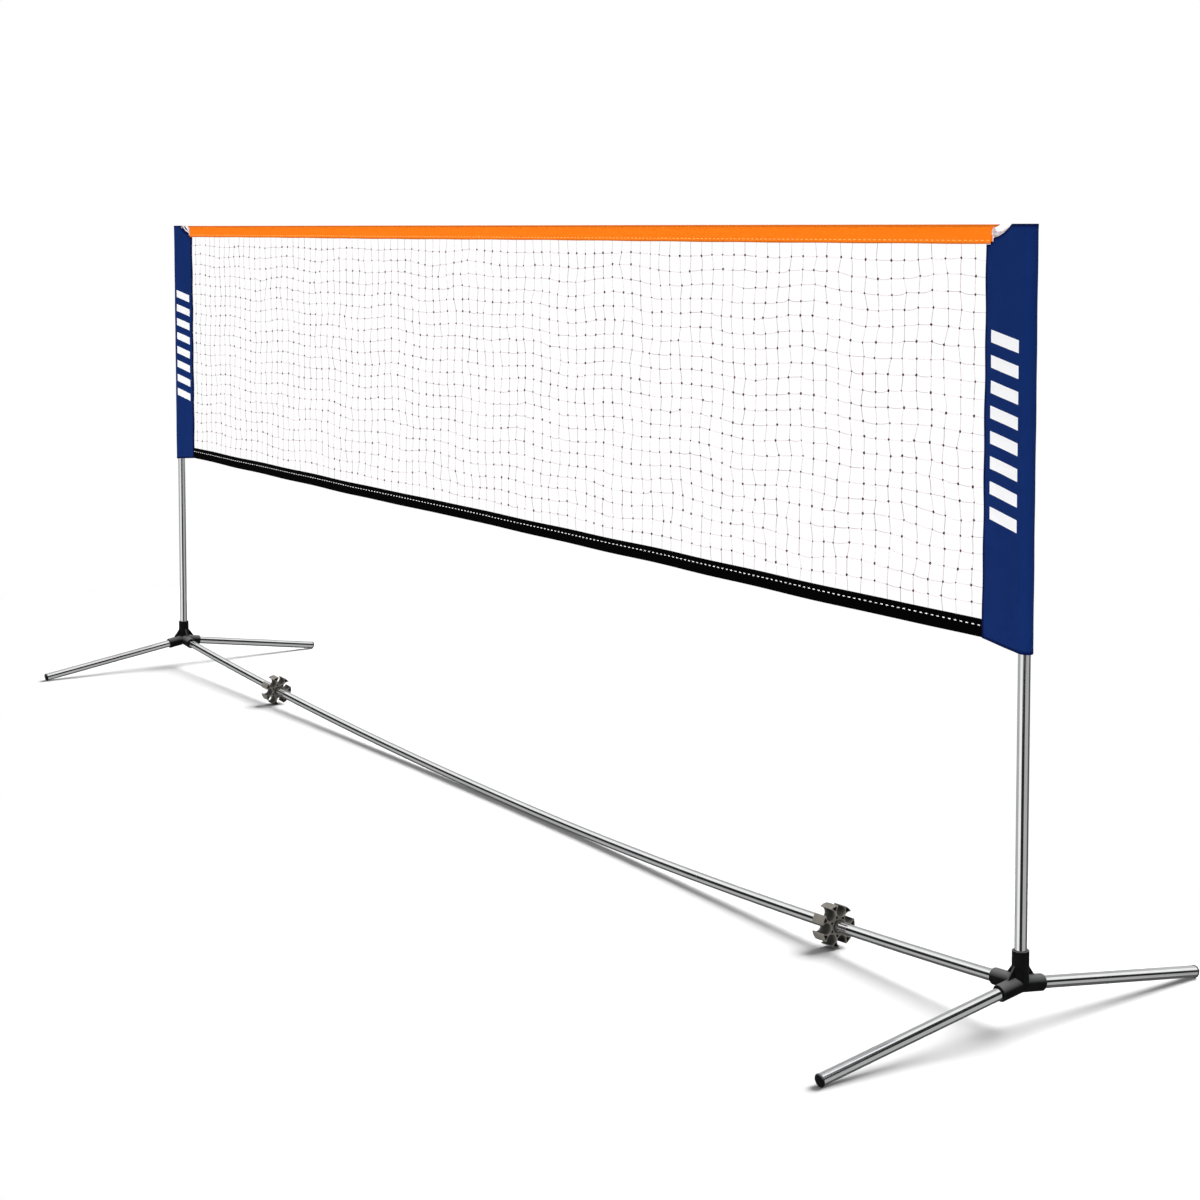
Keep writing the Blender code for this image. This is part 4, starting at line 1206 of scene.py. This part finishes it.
def sleeve_top(inward):
    """The sleeve's upper edge: level over the post, then the rounded notch and its step."""
    across = np.clip((inward - NOTCH_CENTRE[0]) / NOTCH_RADII[0], -1.0, 1.0)
    curve = NOTCH_CENTRE[1] - NOTCH_RADII[1] * np.sqrt(1 - across**2)
    top = np.where(inward < NOTCH_CENTRE[0] - NOTCH_RADII[0], TOP_Z, np.minimum(curve, TOP_Z))
    step = np.where(inward > NOTCH_SHELF, NOTCH_STEP_Z, NOTCH_SHELF_Z)
    return np.where(inward > NOTCH_STEP, step, top)


def sleeve_bottom(inward):
    slope = (SLEEVE_INNER_LOW_Z - SLEEVE_OUTER_LOW_Z) / (SLEEVE_REACH + SLEEVE_R)
    return SLEEVE_OUTER_LOW_Z + slope * (inward + SLEEVE_R)


def wrap_lean():
    """The angle round the post at which the straight flap meets the cloth's round part."""
    reach = math.hypot(SLEEVE_REACH, TAPE_HALF_GAP)
    return math.atan2(TAPE_HALF_GAP, SLEEVE_REACH) + math.acos(SLEEVE_R / reach)


def flap_gap(inward):
    """Half the distance between the two flaps, which run straight from the post to the seam."""
    lean = wrap_lean()
    join, side = SLEEVE_R * math.cos(lean), SLEEVE_R * math.sin(lean)
    return TAPE_HALF_GAP + (side - TAPE_HALF_GAP) * ((SLEEVE_REACH - inward) / (SLEEVE_REACH - join))


def flap_wave(inward, z, seed):
    """How far both flaps stand off the net's plane together: long soft folds, none at post and seam."""
    from_post = unit((inward - FOLD_CLEAR[0]) / FOLD_FADE[0])
    from_seam = unit((SLEEVE_REACH - FOLD_CLEAR[1] - inward) / FOLD_FADE[1])
    return from_post * from_seam * waves(FLAP_FOLDS, inward, z, seed)


def sleeve_profile():
    """Columns round the sleeve as (inward, side): front flap, round the post, back flap."""
    lean = wrap_lean()
    step = [NOTCH_STEP + beside for beside in STEP_COLUMNS]
    lowest = math.pi - math.asin((NOTCH_CENTRE[1] - TOP_Z) / NOTCH_RADII[1])
    first = math.acos((NOTCH_STEP - 0.0025 - NOTCH_CENTRE[0]) / NOTCH_RADII[0])
    angles = np.linspace(first, lowest, NOTCH_COLUMNS)
    notch = [NOTCH_CENTRE[0] + NOTCH_RADII[0] * math.cos(angle) for angle in angles]
    flap = [SLEEVE_REACH - back for back in SEAM_COLUMNS] + step + notch
    flap += list(np.linspace(notch[-1] - 0.003, SLEEVE_R * math.cos(lean), FLAP_COLUMNS))
    turn = arc((0.0, 0.0), SLEEVE_R, lean, 2 * math.pi - lean, ROUND_COLUMNS)[1:-1]
    front = [(d, flap_gap(d)) for d in flap]
    return np.array(front + turn + [(d, -y) for d, y in reversed(front)])


def make_sleeve(label, side):
    """Cloth folded round the post into a pocket, hemmed, with a curved notch at its inner top corner."""
    seed, ripple = SLEEVE_WAVES[side]
    profile = sleeve_profile()
    inward, across = profile.T[:, :, None]
    low, high = sleeve_bottom(inward), sleeve_top(inward)
    hem = np.array(HEM_ROWS)
    middle_rows = np.linspace(low[:, 0] + PAST_HEM, high[:, 0] - PAST_HEM, SLEEVE_ROWS, axis=1)
    z = np.concatenate([low + hem, middle_rows, high - hem[::-1]], axis=1)
    near = unit((inward - SLEEVE_REACH + RIPPLE_WIDTH) / RIPPLE_WIDTH)
    rippled = inward + near * ripple * waves(SEAM_RIPPLES, inward, z, seed)
    bulge = SLEEVE_BULGE + waves(BULGES, inward, z, seed)
    size = 1 + unit((0.004 - inward) / 0.02) * bulge / SLEEVE_R
    from_edge = np.minimum(np.minimum(z - low, high - z), SLEEVE_REACH - inward)
    out = (across + flap_wave(inward, z, seed)) * size
    middle = points_of(side * (POST_X - rippled * size), -side * out, z)
    thickness = CLOTH * (0.85 + 0.45 * unit((HEM_WIDTH - from_edge) / HEM_FADE))
    sleeve = thick_sheet(f"{label}_sleeve_cloth", middle, thickness)
    around = length_along(profile)
    flat, place = points_of(around[:, None], z, 0.0), points_of(inward, z, from_edge)
    for name, values in (("flat", flat), ("place", place)):
        set_attribute(sleeve, name, np.concatenate([values.reshape(-1, 3)] * 2))
    body = f"{label}_upper"
    finish_piece(sleeve, NAVY_CLOTH, body, [f"{label}_sleeve"], gathers=True)
    rows = sleeve_rows(side, seed)
    seams = make_stitches(f"{label}_sleeve_stitches", rows, SEAM_STITCH, STITCH_NAVY, body, gathers=True)


def sleeve_rows(side, seed):
    """Rows of stitches along the inner hem and over the bottom hem, on both flaps."""
    column = SLEEVE_REACH - SEAM_INSET
    lowest = sleeve_bottom(column) + UPRIGHT_SEAM_CLEAR[0]
    highest = float(sleeve_top(column)) - UPRIGHT_SEAM_CLEAR[1]
    up = np.arange(lowest, highest, SEAM_STITCH[0])
    along = np.arange(LEVEL_SEAM_CLEAR[0], SLEEVE_REACH - LEVEL_SEAM_CLEAR[1], SEAM_STITCH[0])
    rows = []
    for face in (-1, 1):
        for inward, z, way in (
            (column, up, (0.0, 0.0, 1.0)),
            (along, sleeve_bottom(along) + SEAM_INSET, (1.0, 0.0, 0.0)),
        ):
            across = face * flap_gap(inward) + flap_wave(inward, z, seed) + face * CLOTH * SEAM_SINK
            centres = points_of(side * (POST_X - inward), -side * across, z)
            rows.append(stitch_row(centres, way, (0.0, -side * face, 0.0)))
    return rows


# Rope


def laid_strands(path):
    """Rings of points of the three strands laid round a path."""
    across, upright = frames_along(path)
    for strand in range(3):
        angle = 2 * math.pi * (length_along(path) / ROPE_PITCH + strand / 3)
        offset = np.cos(angle)[:, None] * across + np.sin(angle)[:, None] * upright
        yield rings_along(path + offset * ROPE_R * STRAND_OFFSET, ROPE_R * STRAND_SHARE, ROPE_SIDES)


def smooth_path(points):
    """A path through given points, rounded by a Catmull-Rom spline and sampled evenly."""
    padded = np.vstack([2 * points[0] - points[1], points, 2 * points[-1] - points[-2]])
    t = np.linspace(0.0, 1.0, SPLINE_STEPS, endpoint=False)[:, None]
    fine = []
    for before, start, end, after in zip(padded[:-3], padded[1:-2], padded[2:-1], padded[3:]):
        bend, turn = 2 * before - 5 * start + 4 * end - after, 3 * start - before - 3 * end + after
        fine.append(0.5 * (2 * start + (end - before) * t + bend * t**2 + turn * t**3))
    fine = np.vstack([*fine, points[-1:]])
    length = length_along(fine)
    wanted = np.linspace(0.0, length[-1], max(2, int(length[-1] / ROPE_STEP) + 1))
    return np.stack([np.interp(wanted, length, fine[:, axis]) for axis in range(3)], axis=-1)


def rope_path(route, side, front):
    """A smooth path through a route's points, its middle standing out from the net's plane."""
    inward, height = np.array(route, float).T
    forward = -front * np.sin(np.linspace(0.0, 1.0, len(route)) * math.pi)
    return smooth_path(points_of(side * (POST_X - inward), forward, height))


def make_rope():
    """The headline rope: through the tape's tunnel, up along the notch, round the cap and back to a knot."""
    x, z = np.linspace(-ROPE_HIDDEN_X, ROPE_HIDDEN_X, ROPE_HIDDEN_RINGS), ROPE_ROUTE[-1][1]
    core = rings_along(points_of(x, sway(x, z), z), ROPE_R * CORE_SHARE, ROPE_SIDES)
    points, faces = [core.reshape(-1, 3)], [grid_faces(len(core), ROPE_SIDES)]
    start = len(core) * ROPE_SIDES
    turn = np.linspace(0.0, 2 * math.pi, LOOP_STEPS)
    loop = points_of(POST_X - LOOP_R * np.cos(turn), LOOP_R * np.sin(turn), LOOP_Z)
    for side in (-1, 1):
        paths = [rope_path(route, side, front) for route, front in ROPE_ROUTES]
        for path in [*paths, loop * np.array([side, 1.0, 1.0])]:
            for strand in laid_strands(path):
                last = start + (len(strand) - 1) * ROPE_SIDES
                points.append(strand.reshape(-1, 3))
                faces.append(start + grid_faces(len(strand), ROPE_SIDES))
                faces += [start + STRAND_END, last + STRAND_END]
                start = last + ROPE_SIDES
    points = np.concatenate(points)
    rope = add_mesh("headline_rope_twisted", points, np.concatenate(faces), ROPE_SHARP)
    tone = 0.6 + 0.25 * np.sin(points[:, 0] * 400.0) + 0.15 * np.sin(points[:, 2] * 900.0)
    set_attribute(rope, "tone", unit(tone))
    finish_piece(rope, ROPE_WHITE, "left_upper", ["headline_rope"])


# CAD nodes that stay


def finish_kept_nodes():
    kept = {f"crossbar_ferrule_{number}": STEEL["X"] for number in range(1, BAR_SECTIONS)}
    for part in ("lock_collet", "lock_collar", "guide_plug"):
        kept.update({f"{label}_{part}": BLACK_PLASTIC for label in SIDE_OF})
    for node, material in kept.items():
        materials = frame["nodes"][node].data.materials
        materials.clear()
        materials.append(material)


# Studio


def make_floor():
    """A flat pale disc without a rim; beyond the object's shadows the camera sees it as plain white."""
    angles = full_turn(FLOOR_SIDES)
    rim = points_of(FLOOR_RADII[0] * np.cos(angles), FLOOR_RADII[1] * np.sin(angles), -GAP)
    floor = add_mesh("floor", rim, [range(FLOOR_SIDES)], SOLID_SHARP)
    surface = Surface("pale_floor", 1.0)
    beyond = surface.smooth_step(surface.math("ABSOLUTE", surface.split(surface.place)[1]), *SHADOW_REACH)
    seen = surface.math("MULTIPLY", beyond, surface.node("LightPath").outputs["Is Camera Ray"])
    diffuse = surface.node("BsdfDiffuse", {"Color": FLOOR_COLOUR}).outputs[0]
    white = surface.node("Emission", {"Color": PLAIN_WHITE, "Strength": 1.0}).outputs[0]
    both = surface.node("MixShader", {0: seen, 1: diffuse, 2: white}).outputs[0]
    surface.feed(surface.tree.nodes["Material Output"].inputs["Surface"], both)
    surface.tree.nodes.remove(surface.shader)
    floor.data.materials.append(surface.material)
    floor.visible_glossy = False
    return floor


def make_world():
    """White to the camera, plain light on the object, and a studio with dark flags in its reflections."""
    world = bpy.data.worlds.new("studio")
    world.use_nodes = True
    bpy.context.scene.world = world
    studio = Nodes(world.node_tree)
    studio.tree.nodes.clear()
    x, y, z = studio.split(studio.node("TexCoord").outputs["Generated"])
    turn = studio.math("MULTIPLY_ADD", studio.math("ARCTAN2", y, x), 0.5 / math.pi, 0.5)

    def sectors(stops):
        """Brightness by azimuth, in flat sectors with short blends between them."""
        places = [(0.0, stops[0][1])]
        for (_, before), (start, value) in zip(stops, stops[1:]):
            places.append(((start - SECTOR_BLEND) / 360 + 0.5, before))
            places.append(((start + SECTOR_BLEND) / 360 + 0.5, value))
        return studio.ramp(turn, places)

    shine = sectors(REFLECTIONS[0][1])
    for height, stops in REFLECTIONS[1:]:
        above = studio.smooth_step(z, height - HEIGHT_BLEND, height + HEIGHT_BLEND)
        shine = studio.blend(above, shine, sectors(stops))
    path = studio.node("LightPath").outputs
    mirrored = studio.math("MAXIMUM", path["Is Glossy Ray"], path["Is Transmission Ray"])
    plain = studio.math("MULTIPLY", studio.math("SUBTRACT", 1.0, mirrored), AMBIENT)
    lit = studio.math("MULTIPLY_ADD", shine, mirrored, plain)
    unseen = studio.math("SUBTRACT", 1.0, path["Is Camera Ray"])
    strength = studio.math("MULTIPLY_ADD", lit, unseen, path["Is Camera Ray"])
    background = studio.node("Background", {"Color": PLAIN_WHITE, "Strength": strength})
    studio.node("OutputWorld", {"Surface": background.outputs[0]})


def add_sun(floor, name, place, width, strength, lights_floor, shadow):
    """Even light from the direction of a place, on the floor alone or on all but the floor."""
    light = bpy.data.lights.new(name, "SUN")
    configured(light, energy=strength, angle=math.radians(width), use_shadow=shadow)
    turn = Vector(place).to_track_quat("Z", "Y").to_euler()
    obj = add_object(name, light, rotation_euler=turn, visible_glossy=False, visible_camera=False)
    lit = bpy.data.collections.new(f"{name}_receivers")
    lit.objects.link(floor)
    lit.collection_objects[0].light_linking.link_state = "INCLUDE" if lights_floor else "EXCLUDE"
    obj.light_linking.receiver_collection = lit


def make_camera():
    data = configured(bpy.data.cameras.new("camera"), sensor_width=SENSOR)
    data.lens = FOCAL_PIXELS * SENSOR / IMAGE_SIZE
    data.shift_y = (OPTICAL_ROW - IMAGE_SIZE / 2) / IMAGE_SIZE
    turn = (math.pi / 2 + CAMERA_PITCH, 0.0, CAMERA_YAW)
    bpy.context.scene.camera = add_object("camera", data, location=CAMERA_PLACE, rotation_euler=turn)


def main():
    make_camera()
    for label, side in SIDE_OF.items():
        hub = Vector((side * POST_X, 0.0, HUB_Z))
        make_connector(label, side, hub)
        make_feet(label, hub)
        make_posts(label, side * POST_X)
        make_post_cap(label, side * POST_X)
        make_clip(label)
        make_sleeve(label, side)
    make_crossbar()
    make_net()
    make_rope()
    make_top_tape()
    make_low_tape()
    finish_kept_nodes()
    floor = make_floor()
    make_world()
    for name, settings in SUNS.items():
        add_sun(floor, name, *settings)
    bpy.context.scene.view_settings.view_transform = "Standard"


main()
